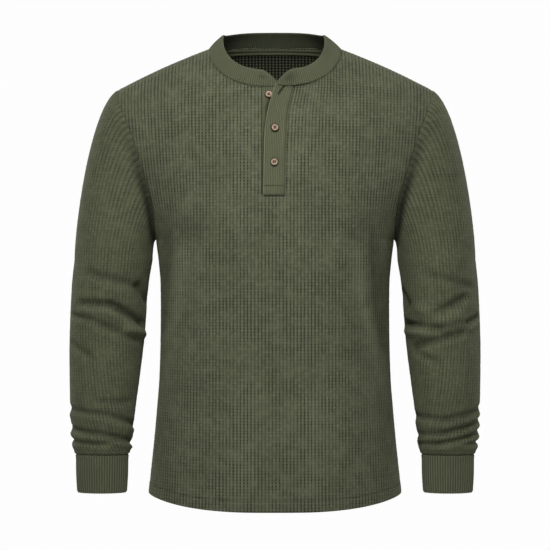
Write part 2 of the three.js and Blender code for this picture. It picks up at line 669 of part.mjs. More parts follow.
function neckband(flapGrid) {
  const stations = bandStations(flapGrid);
  const count = stations.length;
  const travelled = [0];
  for (let i = 1; i < count; i += 1) {
    travelled.push(travelled[i - 1] + stations[i].outer.distanceTo(stations[i - 1].outer));
  }
  const total = travelled[count - 1];
  const outer = BAND_RISES.map(() => []);
  const inner = BAND_RISES.map(() => []);
  stations.forEach((station, i) => {
    const before = stations[Math.max(0, i - 1)].outer;
    const after = stations[Math.min(count - 1, i + 1)].outer;
    const tangent = after.clone().sub(before).normalize();
    const away = station.normal.clone().cross(tangent).normalize();
    const inward = new THREE.Vector3(-station.outer.x, -8 - station.outer.y, 0).normalize();
    const sideShare = inward.x ** 2;
    const ahead = station.outer.y < 0 ? BAND.front : BAND.back;
    const lean = mix(ahead.lean, BAND.side.lean, sideShare);
    const rise = mix(ahead.rise, BAND.side.rise, sideShare);
    const rounded = (end, run) => mix(end.least, 1, Math.sin(clamp01(run / end.length) * Math.PI / 2));
    const height = Math.min(
      rounded(BAND_ENDS.left, travelled[i]),
      rounded(BAND_ENDS.right, total - travelled[i]),
    );
    const up = inward.clone().multiplyScalar(lean).setZ(rise);
    const face = tangent.clone().cross(up).normalize();
    BAND_RISES.forEach((share, r) => {
      const bulge = BAND_BULGE * Math.sin(Math.PI * share) * height;
      const point = moved(station.outer, away, BAND_GAP).addScaledVector(up, share * height);
      point.addScaledVector(face, bulge);
      outer[r].push(point);
      const wall = mix(KNIT_WALL, RIB_WALL, smooth(share / 0.4));
      inner[r].push(r === 0 ? moved(station.inner, away, BAND_GAP) : moved(point, face, -wall));
    });
  });
  return wallGeometry(outer, inner);
}

// Neck tape: on the inside of the back panel, from the panel's own points

function neckTape() {
  const topRow = back.outer.length - 1;
  const columns = back.stations.map((_, c) => c).filter((c) => Math.abs(back.outer[topRow][c].x) < TAPE.half);
  const at = (grid, c, drop) => {
    let row = topRow;
    const run = (r) => back.inner[topRow][c].distanceTo(back.inner[r][c]);
    while (run(row - 1) < drop) row -= 1;
    return grid[row][c].clone().lerp(grid[row - 1][c], (drop - run(row)) / (run(row - 1) - run(row)));
  };
  const drops = [TAPE.height, 0.6 * TAPE.height, 0.3 * TAPE.height, 0.8];
  const build = (depth) => drops.map((drop) => columns.map((c) => {
    const normal = at(back.normals, c, drop).normalize();
    return moved(at(back.inner, c, drop), normal, -depth);
  }));
  return wallGeometry(build(TAPE.clear), build(TAPE.clear + TAPE.wall));
}

// Buttons: dished discs with a raised rim and four holes

function toManifold(geometry) {
  const bare = geometry.clone();
  bare.deleteAttribute('normal');
  bare.deleteAttribute('uv');
  const merged = mergeVertices(bare, 1e-4);
  return new wasm.Manifold(new wasm.Mesh({
    numProp: 3,
    vertProperties: new Float32Array(merged.attributes.position.array),
    triVerts: new Uint32Array(merged.index.array),
  }));
}

function buttonGeometry() {
  const { radius, wall, bevel, edge, rim, dish, hole, holeSpread } = BUTTON;
  const inside = radius - rim - edge;
  const profile = [
    [0, 0], [radius - bevel, 0], [radius, bevel], [radius, wall - edge], [radius - edge, wall],
    [inside, wall], [inside - edge, wall - dish], [0, wall - dish],
  ].map(([r, h]) => new THREE.Vector2(r, h));
  let body = toManifold(new THREE.LatheGeometry(profile, BUTTON_SIDES.disc));
  for (let i = 0; i < 4; i += 1) {
    const angle = Math.PI / 4 + (i * Math.PI) / 2;
    const drill = new THREE.CylinderGeometry(hole, hole, wall * 3, BUTTON_SIDES.hole);
    drill.translate(holeSpread * Math.cos(angle), 0, holeSpread * Math.sin(angle));
    body = body.subtract(toManifold(drill));
  }
  const { vertProperties, triVerts } = body.getMesh();
  const geometry = new THREE.BufferGeometry();
  geometry.setAttribute('position', new THREE.Float32BufferAttribute(vertProperties, 3));
  geometry.setIndex(new THREE.BufferAttribute(triVerts, 1));
  geometry.computeVertexNormals();
  return geometry;
}

function button({ name, x, level, on }) {
  const mesh = piece(name, buttonGeometry(), COLOURS.button, 0.45);
  const high = level + BUTTON.radius;
  const sewn = column(FLAP, 'sewn', high);
  const share = (sewn - x) / (sewn - column(FLAP, 'free', high));
  const under = on === 'flap' ? FLAP_CLEAR + STRIP_WALL + flapLift(share, high) : 0;
  const normal = bodyNormal(SIDES.front, x, level);
  mesh.position.copy(moved(bodyPoint(SIDES.front, x, level), normal, under + SEAM_GAP));
  mesh.quaternion.setFromUnitVectors(new THREE.Vector3(0, 1, 0), normal);
  return mesh;
}

// The shirt

const flapGrid = flap();
const shirt = new THREE.Group();
shirt.name = 'henley_shirt';
shirt.add(
  piece('front', frontGeometry, COLOURS.knit),
  piece('back', backGeometry, COLOURS.knit),
  piece('sleeve_left', sleeve(1, CREASES.left), COLOURS.knit),
  piece('sleeve_right', sleeve(-1, CREASES.right), COLOURS.knit),
  piece('cuff_left', cuff(1), COLOURS.rib),
  piece('cuff_right', cuff(-1), COLOURS.rib),
  piece('collar_band', neckband(flapGrid), COLOURS.rib),
  piece('placket_upper', flapGrid.geometry, COLOURS.rib),
  piece('placket_under', underStrip(), COLOURS.rib),
  piece('neck_tape', neckTape(), COLOURS.tape),
  ...BUTTONS.map(button),
);

export default shirt;
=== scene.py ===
"""A long-sleeved henley shirt in waffle knit, filled out as if worn, in a plain pale studio.

The classes hold the sizes of the cut pieces in millimetres. Meshes are made in metres, in the frame of
the loaded model: +Z up, the front towards -Y, the wearer's left towards +X, and the origin midway
between the high points of the shoulder seams.
"""

import logging
import math
from dataclasses import dataclass, field
from enum import Enum
from functools import partial
from typing import Callable, ClassVar, Iterable, Sequence

import bmesh
import bpy
import numpy as np
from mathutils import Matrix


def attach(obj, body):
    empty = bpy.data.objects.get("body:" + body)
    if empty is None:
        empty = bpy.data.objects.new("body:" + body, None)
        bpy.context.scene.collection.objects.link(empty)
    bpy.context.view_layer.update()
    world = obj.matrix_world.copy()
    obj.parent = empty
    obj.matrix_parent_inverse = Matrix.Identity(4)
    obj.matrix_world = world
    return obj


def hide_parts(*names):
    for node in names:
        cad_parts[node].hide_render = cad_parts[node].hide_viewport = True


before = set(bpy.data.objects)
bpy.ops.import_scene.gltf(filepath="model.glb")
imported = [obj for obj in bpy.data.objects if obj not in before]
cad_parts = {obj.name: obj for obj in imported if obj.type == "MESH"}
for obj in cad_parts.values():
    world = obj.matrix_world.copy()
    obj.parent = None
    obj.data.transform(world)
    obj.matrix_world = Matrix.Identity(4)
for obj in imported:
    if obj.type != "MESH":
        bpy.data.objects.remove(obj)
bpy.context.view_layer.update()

LOG = logging.getLogger("henley")
MM = 0.001
TURN = 2 * math.pi
QUARTER = math.pi / 2

Array = np.ndarray
Object = bpy.types.Object
Socket = bpy.types.NodeSocket
NodeMaker = Callable[..., Socket]


class Side(Enum):
    """The two body panels, with the sign of Y on their side."""

    FRONT = -1
    BACK = 1


class Hand(Enum):
    """The wearer's two sides, with the sign of X."""

    LEFT = 1
    RIGHT = -1


def smooth(value: Array) -> Array:
    """Return an S-shaped step from 0 to 1."""
    share = np.clip(value, 0, 1)
    return share * share * (3 - 2 * share)


def mix(first: Array, second: Array, share: Array) -> Array:
    """Return the value a share of the way from the first to the second."""
    return first + (second - first) * share


def unit(vectors: Array) -> Array:
    """Return the vectors at length one."""
    return vectors / np.maximum(np.linalg.norm(vectors, axis=-1, keepdims=True), 1e-9)


class LevelTable:
    """Sizes at a few falling levels, joined by smooth curves."""

    def __init__(self, names: str, rows: Sequence[Sequence[float]]) -> None:
        """Keep the rows, whose first column is the level.

        Args:
            names: The column names, separated by spaces.
            rows: One row of numbers for each level.
        """
        values = np.array(rows, float)
        self.levels = values[:, 0]
        self.columns = {name: values[:, i] for i, name in enumerate(names.split())}

    def at(self, name: str, level: Array) -> Array:
        """Return a column's value at each level.

        Args:
            name: The column.
            level: The levels, in millimetres.

        Returns:
            The smoothly interpolated values.
        """
        levels, column = self.levels, self.columns[name]
        last = len(levels) - 1
        level = np.clip(np.asarray(level, float), levels[-1], levels[0])
        row = np.clip(np.searchsorted(-levels, -level, side="right") - 1, 0, last - 1)
        before, after = np.maximum(np.arange(last + 1) - 1, 0), np.minimum(np.arange(last + 1) + 1, last)
        slope = (column[after] - column[before]) / (levels[after] - levels[before])
        span = levels[row + 1] - levels[row]
        t = (level - levels[row]) / span
        ends = column[row] * (1 + 2 * t) * (1 - t) ** 2 + column[row + 1] * t**2 * (3 - 2 * t)
        return ends + span * (slope[row] * t * (1 - t) ** 2 - slope[row + 1] * t**2 * (1 - t))


@dataclass(frozen=True)
class Fold:
    """A soft ridge or trough along a straight stretch of cloth.

    u is the place across the cloth and z the level. out is how far it stands out, and roll is the share
    of that by which the cloth beside it, on its lower side, goes the other way.
    """

    u0: float
    z0: float
    u1: float
    z1: float
    width: float
    out: float
    roll: float = 0.0

    def push(self, u: Array, z: Array) -> Array:
        """Return how far the fold pushes each point out."""
        run = math.hypot(self.u1 - self.u0, self.z1 - self.z0)
        du, dz = (self.u1 - self.u0) / run, (self.z1 - self.z0) / run
        t = ((u - self.u0) * du + (z - self.z0) * dz) / run
        off = (u - self.u0) * dz - (z - self.z0) * du
        off = off * (1 if du >= 0 else -1)
        fade = smooth(t / 0.3 + 0.5) * smooth((1 - t) / 0.3 + 0.5)
        near = np.exp(-((off / self.width) ** 2))
        beside = np.exp(-(((off - 1.9 * self.width) / (1.15 * self.width)) ** 2))
        return self.out * fade * (near - self.roll * beside)


def pushed(folds: Iterable[Fold], u: Array, z: Array) -> Array:
    """Return how far all the folds together push each point out."""
    return sum((fold.push(u, z) for fold in folds), np.zeros(np.broadcast(u, z).shape))


@dataclass(frozen=True)
class BodyForm:
    """The surface of the shirt's body, with the same sizes as its solids."""

    neck_point: float = 101
    shoulder_point: float = 244
    shoulder_slope: float = 0.45
    shoulder_fullness: float = 2.8
    neck_root_rise: float = 0.6
    shoulder_roll: float = 112
    underarm: float = -298
    front_neck_drop: float = 66
    back_neck_rise: float = 10
    neck_curve: float = 2.6
    back_neck_curve: float = 3
    hem_side: float = -690
    hem_drop: float = 18.5
    hem_curve: float = 3
    half_hem: float = 197
    seam_gap: float = 0.35
    sections: LevelTable = field(
        default_factory=lambda: LevelTable(
            "level edge front back",
            [
                (60, 244, 70, 82),
                (10, 244, 76, 93),
                (-66, 244, 88, 96),
                (-86, 240, 95, 101),
                (-104, 234, 100, 105),
                (-124, 225, 106, 109),
                (-158, 213.5, 114, 114),
                (-194, 202.5, 121, 116),
                (-234, 191.5, 126, 114),
                (-264, 187, 127, 112),
                (-298, 185, 126, 109),
                (-330, 181, 124, 106),
                (-367, 178, 121, 102),
                (-451, 178, 117, 100),
                (-516, 180, 116, 104),
                (-554, 183, 116, 108),
                (-610, 188, 117, 112),
                (-657, 193, 118, 113),
                (-700, 197, 119, 113),
                (-740, 200, 120, 113),
            ],
        )
    )
    drapes: dict[Side, tuple[Fold, ...]] = field(
        default_factory=lambda: {
            Side.FRONT: (
                Fold(-141, -318, -163, -466, 11, 6.5),
                Fold(-163, -470, -178, -570, 10, 5),
                Fold(-163, -290, -172, -440, 7, -7),
                Fold(129, -318, 137, -395, 10, 5.5),
                Fold(137, -398, 174, -545, 9, 6),
                Fold(150, -300, 165, -470, 8, -6),
                Fold(-176, -262, -110, -292, 14, -1.2),
                Fold(176, -262, 108, -300, 14, -1.2),
                Fold(-40, -520, -52, -700, 26, 3),
                Fold(52, -540, 60, -700, 26, 3),
            ),
            Side.BACK: (
                Fold(-150, -330, -168, -560, 15, 5),
                Fold(148, -340, 170, -570, 15, 5),
                Fold(-60, -340, -48, -560, 26, 4),
                Fold(58, -360, 44, -590, 26, 4),
                Fold(-120, -420, -70, -470, 14, -3),
                Fold(118, -440, 60, -482, 14, -3),
            ),
        }
    )

    @property
    def armhole_middle(self) -> float:
        """Return the level of the middle of the armhole."""
        return (self.underarm - self.shoulder_slope * (self.shoulder_point - self.neck_point)) / 2

    def crest(self, x: Array) -> Array:
        """Return the level of the shoulder line, or above the neck opening the level it would have."""
        inside = self.neck_point - np.abs(x)
        run = -inside / (self.shoulder_point - self.neck_point)
        outside = inside * self.shoulder_slope + self.shoulder_fullness * np.sin(math.pi * run)
        within = inside * (self.shoulder_slope + self.neck_root_rise * (1 - inside / self.neck_point))
        return np.where(inside <= 0, outside, within)

    def full_depth(self, side: Side, share: Array, level: Array) -> Array:
        """Return the depth of a section before it rolls over to the shoulder.

        Args:
            side: The panel.
            share: The place across, from 0 at the middle to 1 at the panel's edge.
            level: The level.

        Returns:
            The distance from the shirt's middle plane.
        """
        front = side is Side.FRONT
        centre = self.sections.at("front" if front else "back", level)
        half = self.armhole_middle - self.underarm
        below = np.clip((self.armhole_middle - level) / half, 0, 1)
        armhole = (62 if front else 60) * np.sqrt(1 - below**2)
        upper = smooth((level - self.underarm + 40) / (half + 40))
        square = mix(2.5 if front else 2.4, 1.9 if front else 2.1, upper)
        rounding = mix(2.1, 1.15 if front else 1.2, upper)
        cut = (1 - (armhole / centre) ** rounding) ** (1 / square)
        inside = np.maximum(1 - (np.clip(share, 0, 1) * cut) ** square, 0)
        return centre * inside ** (1 / rounding)

    def depth(self, side: Side, x: Array, level: Array, share: Array | None = None) -> Array:
        """Return the distance of the outer face from the shirt's middle plane."""
        if share is None:
            share = np.abs(x) / self.sections.at("edge", level)
        full = self.full_depth(side, share, level)
        roll = np.clip((self.crest(x) - level) / self.shoulder_roll, 0, 1)
        drape = pushed(self.drapes[side], x, level) * (1 - np.clip(share, 0, 1) ** 8)
        return np.maximum(full * np.sqrt(1 - (1 - roll) ** 2) + drape, 0)

    def point(self, side: Side, x: Array, level: Array) -> Array:
        """Return points on the outer face, in millimetres."""
        y = side.value * (self.depth(side, x, level) + self.seam_gap / 2)
        return np.stack(np.broadcast_arrays(x, y, level), axis=-1).astype(float)

    def normal(self, side: Side, x: Array, level: Array, step: float = 1.5) -> Array:
        """Return the outward direction at points away from the seams."""
        across = self.point(side, x + step, level) - self.point(side, x - step, level)
        along = self.point(side, x, level + step) - self.point(side, x, level - step)
        normal = unit(np.cross(across, along))
        return normal * np.where(normal[..., 1:2] * side.value < 0, -1, 1)

    def neck(self, side: Side, x: Array) -> Array:
        """Return the level of the neckline."""
        share = np.clip(np.abs(x) / self.neck_point, 0, 1)
        if side is Side.FRONT:
            return -self.front_neck_drop * np.sqrt(1 - share**self.neck_curve)
        return self.back_neck_rise * (1 - share**self.back_neck_curve)

    def top(self, side: Side, x: Array) -> Array:
        """Return the level of a panel's upper edge."""
        return np.where(np.abs(x) < self.neck_point, self.neck(side, x), self.crest(x))

    def hem(self, x: Array) -> Array:
        """Return the level of the hem's edge."""
        share = np.clip(np.abs(x) / self.half_hem, 0, 1)
        return self.hem_side - self.hem_drop * (1 - share**self.hem_curve)

    def roll_angle(self, run: Array, full: Array) -> Array:
        """Return the angle on the shoulder's quarter ellipse after a run of cloth along it."""
        high = self.shoulder_roll
        angle = run / ((high + full) / 2)
        for _ in range(6):
            gone = (high + full) / 2 * angle + (high - full) / 4 * np.sin(2 * angle)
            angle = angle - (gone - run) / ((high + full) / 2 + (high - full) / 2 * np.cos(2 * angle))
            angle = np.clip(angle, 0, math.pi / 2)
        return angle

    def level_of(self, side: Side, x: Array, share: Array, cloth: Array, level: Array) -> Array:
        """Return the level of a place measured along the cloth, from a first guess of that level."""
        start = self.crest(x) - self.shoulder_roll
        angle = self.roll_angle(np.maximum(cloth - start, 0), self.full_depth(side, share, level))
        return np.where(cloth <= start, cloth, self.crest(x) - self.shoulder_roll * (1 - np.sin(angle)))

    def cloth_of(self, side: Side, x: Array, share: Array, level: Array) -> Array:
        """Return the place along the cloth of a level."""
        high = self.shoulder_roll
        full = self.full_depth(side, share, level)
        angle = np.arcsin(np.clip(1 - (self.crest(x) - level) / high, 0, 1))
        over = (high + full) / 2 * angle + (high - full) / 4 * np.sin(2 * angle)
        return np.where(level <= self.crest(x) - high, level, self.crest(x) - high + over)


BODY = BodyForm()


@dataclass(frozen=True)
class Waffle:
    """The knit: raised ribs up and down with lower ridges across, round small square pockets."""

    rib_pitch: float = 5.34
    course_pitch: float = 4.62
    relief: float = 0.8
    wall: float = 1.6
    uneven_rib: float = 0.26
    uneven_course: float = 0.22
    uneven_relief: float = 0.22

    @property
    def half_rib(self) -> float:
        """Return half the distance between ribs, which is the mesh's step across."""
        return self.rib_pitch / 2

    @property
    def half_course(self) -> float:
        """Return half the distance between courses, which is the mesh's step along."""
        return self.course_pitch / 2

    def height(self, columns: Array, rows: Array) -> Array:
        """Return the knit's height at half-step columns and rows, from -0.5 to 0.5."""
        between_ribs = (np.abs(columns) % 2).astype(float)
        between_courses = (np.abs(rows) % 2).astype(float)
        low = between_ribs * mix(0.5, 1.0, between_courses) + (1 - between_ribs) * 0.14 * between_courses
        return 0.5 - low

    def unevenness(self, seed: int, rows: int, columns: int) -> tuple[Array, Array, Array]:
        """Return how far each column and row of the knit strays, and each point's share of the relief."""
        chance = np.random.default_rng(seed)
        across = chance.normal(0, self.uneven_rib, columns)
        along = chance.normal(0, self.uneven_course, rows)
        return across[None, :], along[:, None], 1 + chance.normal(0, self.uneven_relief, (rows, columns))


KNIT = Waffle()


def place_object(name: str, data: bpy.types.ID) -> Object:
    """Return a new object in the scene."""
    obj = bpy.data.objects.new(name, data)
    bpy.context.scene.collection.objects.link(obj)
    return obj


def new_object(name: str, vertices: Array, faces: Sequence[Sequence[int]], shade_smooth: bool = True) -> Object:
    """Make a mesh object from points in millimetres.

    Args:
        name: The object's name.
        vertices: Its points, in millimetres.
        faces: Lists of point numbers, anticlockwise seen from outside.
        shade_smooth: Whether its faces are shaded smooth.

    Returns:
        The object, linked to the scene.
    """
    mesh = bpy.data.meshes.new(name)
    mesh.from_pydata((np.asarray(vertices) * MM).tolist(), [], [list(map(int, face)) for face in faces])
    mesh.update()
    if shade_smooth:
        mesh.polygons.foreach_set("use_smooth", np.ones(len(mesh.polygons), bool))
    obj = bpy.data.objects.new(name, mesh)
    bpy.context.scene.collection.objects.link(obj)
    return obj


def set_uv(obj: Object, uv: Array, name: str = "knit") -> None:
    """Give each vertex its place in the cloth's own pattern, as a UV map."""
    layer = obj.data.uv_layers.new(name=name)
    corners = np.empty(len(obj.data.loops), np.int32)
    obj.data.loops.foreach_get("vertex_index", corners)
    layer.data.foreach_set("uv", np.asarray(uv, np.float32)[corners].ravel())


def set_shade(obj: Object, shade: Array) -> None:
    """Give each vertex its share of shadow colour, or of light colour where it is below zero."""
    layer = obj.data.attributes.new("shade", "FLOAT", "POINT")
    layer.data.foreach_set("value", np.asarray(shade, np.float32).ravel())


def mesh_normals(points: Array, faces: Sequence[Sequence[int]]) -> Array:
    """Return the normal at each point of a surface."""
    mesh = bpy.data.meshes.new("scratch")
    mesh.from_pydata(points.tolist(), [], [list(face) for face in faces])
    mesh.update()
    normals = np.empty(len(points) * 3)
    mesh.vertices.foreach_get("normal", normals)
    bpy.data.meshes.remove(mesh)
    return normals.reshape(-1, 3)


@dataclass
class ClothGrid:
    """A piece of cloth as rows and columns of points on its outer face, trimmed to its cut edges.

    Points that lie past a cut edge have been drawn in to that edge, where they fall together.
    """

    points: Array
    uv: Array
    relief: Array
    shade: Array
    keep: Callable[[int, int], bool] | None = None
    block: int = 4

    def shell(self, name: str, wall: float, outset: Array | None = None) -> Object:
        """Make the wall of cloth: the knit's relief outside, a plain face inside, and closed edges.

        Args:
            name: The object's name.
            wall: The wall's thickness, in millimetres.
            outset: How far each grid point is moved out before the relief.

        Returns:
            The cloth's mesh object.
        """
        rows, columns = self.points.shape[:2]
        flat = np.round(self.points.reshape(-1, 3), 2)
        _, first, ids = np.unique(flat, axis=0, return_index=True, return_inverse=True)
        ids = ids.reshape(rows, columns)
        base = self.points.reshape(-1, 3)[first]
        faces, cells = self._cells(ids)
        normals = mesh_normals(base, faces)
        lift = self.relief.reshape(-1)[first]
        if outset is not None:
            lift = lift + outset.reshape(-1)[first]
        outer = base + normals * lift[:, None]
        inner = base - normals * wall
        count = len(base)
        inside = [[i + count for i in reversed(face)] for face in self._plain(ids, faces, cells)]
        all_faces = faces + inside + [[b, a, a + count, b + count] for a, b in boundary(faces)]
        used = np.unique([i for face in all_faces for i in face])
        renumber = np.full(2 * count, -1)
        renumber[used] = np.arange(len(used))
        vertices = np.concatenate([outer, inner])[used]
        obj = new_object(name, vertices, [renumber[face] for face in all_faces])
        uv = self.uv.reshape(-1, 2)[first]
        set_uv(obj, np.concatenate([uv, uv])[used])
        shade = self.shade.reshape(-1)[first]
        set_shade(obj, np.concatenate([shade, 0 * shade])[used])
        slots = np.zeros(len(all_faces), np.int32)
        slots[len(faces) : len(faces) + len(inside)] = 1
        obj.data.polygons.foreach_set("material_index", slots)
        return obj

    def _cells(self, ids: Array) -> tuple[list[list[int]], dict[tuple[int, int], int]]:
        """Return the faces that have an area, and each full cell's face number."""
        faces: list[list[int]] = []
        cells: dict[tuple[int, int], int] = {}
        rows, columns = ids.shape
        for r in range(rows - 1):
            for c in range(columns - 1):
                if self.keep is not None and not self.keep(r, c):
                    continue
                corners = [ids[r, c], ids[r, c + 1], ids[r + 1, c + 1], ids[r + 1, c]]
                face = [a for i, a in enumerate(corners) if a != corners[i - 1]]
                if len(face) == 4 and len(set(face)) == 4:
                    cells[r, c] = len(faces)
                elif len(face) != 3 or len(set(face)) != 3:
                    continue
                faces.append([int(i) for i in face])
        return faces, cells

    def _plain(self, ids: Array, faces: list[list[int]], cells: dict[tuple[int, int], int]) -> list[list[int]]:
        """Return the inner face's polygons, with whole blocks of cells joined into one."""
        block = self.block
        if block == 1:
            return list(faces)
        joined: list[tuple[int, int]] = []
        gone: set[int] = set()
        rows, columns = ids.shape
        for r in range(0, rows - block, block):
            for c in range(0, columns - block, block):
                members = [cells.get((r + i, c + j), -1) for i in range(block) for j in range(block)]
                if min(members) >= 0:
                    joined.append((r, c))
                    gone.update(members)
        kept = [face for i, face in enumerate(faces) if i not in gone]
        needed = {i for face in kept for i in face} | {i for edge in boundary(faces) for i in edge}
        for r, c in joined:
            ring = [(r, c + j) for j in range(block)]
            ring += [(r + i, c + block) for i in range(block)]
            ring += [(r + block, c + block - j) for j in range(block)]
            ring += [(r + block - i, c) for i in range(block)]
            corners = {(r, c), (r, c + block), (r + block, c + block), (r + block, c)}
            kept.append([int(ids[at]) for at in ring if at in corners or int(ids[at]) in needed])
        return kept


def boundary(faces: Sequence[Sequence[int]]) -> list[tuple[int, int]]:
    """Return the edges that only one face has, in that face's direction."""
    edges = {(a, face[(i + 1) % len(face)]) for face in faces for i, a in enumerate(face)}
    return [(a, b) for a, b in edges if (b, a) not in edges]


def swept(name: str, loops: Array, uv: Array, ring: bool = False) -> Object:
    """Make a closed body from a row of closed sections.

    Args:
        name: The object's name.
        loops: Points by section and place round it, in millimetres.
        uv: The pattern's place of each point.
        ring: Whether the last section joins the first. If not, both ends are closed.

    Returns:
        The mesh object.
    """
    sections, around = loops.shape[:2]
    number = np.arange(sections * around).reshape(sections, around)
    faces = []
    for i in range(sections if ring else sections - 1):
        here, following = number[i], number[(i + 1) % sections]
        for j in range(around):
            k = (j + 1) % around
            faces.append([here[j], here[k], following[k], following[j]])
    if not ring:
        for end, order in ((number[0], -1), (number[-1], 1)):
            half = around // 2
            strip = end[::order]
            for j in range(half - 1):
                quad = [strip[j], strip[j + 1], strip[around - 2 - j], strip[around - 1 - j]]
                faces.append(list(dict.fromkeys(quad)))
    obj = new_object(name, loops.reshape(-1, 3), faces)
    volume = signed_volume(obj.data)
    if volume < 0:
        obj.data.flip_normals()
    set_uv(obj, uv.reshape(-1, 2))
    return obj


def signed_volume(mesh: bpy.types.Mesh) -> float:
    """Return the volume inside a closed mesh, negative if its faces point inwards."""
    mesh.calc_loop_triangles()
    points = np.empty(len(mesh.vertices) * 3)
    mesh.vertices.foreach_get("co", points)
    corners = np.empty(len(mesh.loop_triangles) * 3, np.int32)
    mesh.loop_triangles.foreach_get("vertices", corners)
    a, b, c = (points.reshape(-1, 3)[corners.reshape(-1, 3)[:, i]] for i in range(3))
    return float(np.einsum("ij,ij->i", a, np.cross(b, c)).sum() / 6)


@dataclass
class BodyPanel:
    """The front or back panel, cut to its hem, side seams, armholes, shoulders and neckline."""

    side: Side
    knit: Waffle = KNIT
    hem_height: float = 17
    hem_proud: float = 0.6
    across_steps: int = 120
    across_offset: float = -1.11
    slot: tuple[float, float, float] = (-19.8, 14.9, -233)
    flap_over_edge: float = 2.4
    seam_shadow: float = 0.7

    def _across_tables(self) -> tuple[Array, Array, Array]:
        """Return levels, turns from 0 to 1 across the section, and the cloth's length at each."""
        levels = np.arange(-740.0, 70.0, 10.0)
        turn = np.linspace(0, 1, self.across_steps + 1)
        share = np.sin(turn * math.pi / 2)
        edge = BODY.sections.at("edge", levels)[:, None]
        x = edge * share
        y = BODY.full_depth(self.side, share[None, :], levels[:, None] + np.zeros_like(x))
        steps = np.hypot(np.diff(x, axis=1), np.diff(y, axis=1))
        run = np.concatenate([np.zeros((len(levels), 1)), np.cumsum(steps, axis=1)], axis=1)
        return levels, turn, run

    def grid(self) -> ClothGrid:
        """Return the panel's points, laid out along its ribs and courses."""
        knit = self.knit
        levels, turn, run = self._across_tables()
        reach = run[:, -1].max()
        half = int(reach / knit.half_rib) + 2
        column = np.arange(-half, half + 1)
        lowest = BODY.hem_side - BODY.hem_drop
        row = np.arange(int((70 - lowest) / knit.half_course) + 60)
        stray_across, stray_along, depth_share = knit.unevenness(3 + self.side.value, len(row), len(column))
        stray_across = stray_across * (np.abs(column) > 8)
        cloth = lowest + row[:, None] * knit.half_course + stray_along + np.zeros((1, len(column)))
        across = (self.across_offset if self.side is Side.FRONT else 0) + column[None, :] * knit.half_rib
        across = across + stray_across + np.zeros_like(cloth)
        level = np.minimum(cloth, 0.0)
        table = self._turn_table(levels, turn, run, reach)
        for _ in range(14):
            share, x, used = self._across(across, level, levels, table, run, reach)
            top = BODY.cloth_of(self.side, x, share, BODY.top(self.side, x))
            along = np.clip(cloth, BODY.hem(x), top)
            level = BODY.level_of(self.side, x, share, along, level)
        y = self.side.value * (BODY.depth(self.side, x, level, share) + 0.03)
        points = np.stack([x, y, level], axis=-1)
        side_room = np.interp(level, levels, run[:, -1]) - np.abs(used)
        room = np.minimum.reduce([side_room, top - along])
        fade = smooth(room / 3.2) * smooth((along - BODY.hem(x)) / 2.5)
        groove = -0.55 * np.exp(-((room / 1.6) ** 2))
        if self.side is Side.FRONT:
            beside = np.where(level > self.slot[2] - 3, np.abs(across - self.slot[0]), 99)
            fade = fade * mix(0.35, 1.0, smooth(beside / 12))
            groove = groove - 0.5 * np.exp(-((beside / 1.2) ** 2)) * smooth((-100 - level) / 40)
        relief = knit.relief * knit.height(column[None, :], row[:, None]) * depth_share * fade + groove
        above_hem = along - BODY.hem(x)
        hem = self.hem_proud * smooth((self.hem_height + 1.2 - above_hem) / 1.8)
        dent = -0.5 * np.exp(-(((above_hem - self.hem_height + 1.5) / 1.1) ** 2))
        relief = relief + (hem + dent) * smooth(side_room / 5)
        place = [(used - stray_across) / knit.rib_pitch, (along - lowest - stray_along) / knit.course_pitch]
        uv = np.stack(place, axis=-1)
        # Painted highlight on the ridges, painted shade in the troughs, and painted shadow where the sleeve meets the
        # panel
        shade = np.clip(-0.12 * pushed(BODY.drapes[self.side], x, level), -0.9, 0.3)
        meeting = np.exp(-((side_room / 3.5) ** 2)) * smooth((-110 - level) / 160) * smooth((level + 310) / 14)
        shade = shade * smooth(room / 4) + self.seam_shadow * meeting
        # Painted shade in the hem's seam and a painted highlight on the hem just below it
        from_hem_seam = above_hem - self.hem_height
        shade = shade + 0.5 * np.exp(-((from_hem_seam / 1.1) ** 2))
        shade = shade - 0.45 * np.exp(-(((from_hem_seam + 2.6) / 1.3) ** 2))
        if self.side is Side.FRONT:
            uv[..., 0] -= self.across_offset / knit.rib_pitch
            return ClothGrid(points, uv, relief, shade, self._keep(across, cloth))
        # Seen from outside, the back's columns run the other way
        return ClothGrid(points[:, ::-1], uv[:, ::-1], relief[:, ::-1], shade[:, ::-1])

    @staticmethod
    def _turn_table(levels: Array, turn: Array, run: Array, reach: float) -> Array:
        """Return the turn across the section at even steps of cloth, for each level."""
        even = np.linspace(0, reach, 400)
        return np.array([np.interp(even, run[i], turn) for i in range(len(levels))])

    def _across(
        self, across: Array, level: Array, levels: Array, table: Array, run: Array, reach: float
    ) -> tuple[Array, Array, Array]:
        """Return the share, x and cloth place across of each point at its present level."""
        place = np.clip((level - levels[0]) / (levels[1] - levels[0]), 0, len(levels) - 1.001)
        low = place.astype(int)
        part = place - low
        longest = mix(run[low, -1], run[low + 1, -1], part)
        used = np.clip(across, -longest, longest)
        spot = np.clip(np.abs(used) / reach * (table.shape[1] - 1), 0, table.shape[1] - 1.001)
        left = spot.astype(int)
        rest = spot - left
        lower = mix(table[low, left], table[low, left + 1], rest)
        upper = mix(table[low + 1, left], table[low + 1, left + 1], rest)
        turn = np.where(np.abs(across) >= longest, 1.0, np.clip(mix(lower, upper, part), 0, 1))
        share = np.sin(turn * math.pi / 2)
        edge = BODY.sections.at("edge", level)
        x = np.sign(across) * share * edge
        if self.side is Side.FRONT:
            x = x + Placket.flare(level, self.flap_over_edge) * self._spread(x)
            share = np.where(np.abs(x) < BODY.neck_point, np.abs(x) / edge, share)
        return share, x, used

    def _spread(self, x: Array) -> Array:
        """Return the share of the slot's spread that each place across takes."""
        left, right, _ = self.slot
        rising = (x - left) / (right - left)
        falling = (BODY.neck_point - x) / (BODY.neck_point - right)
        return np.clip(np.minimum(rising, falling), 0, 1)

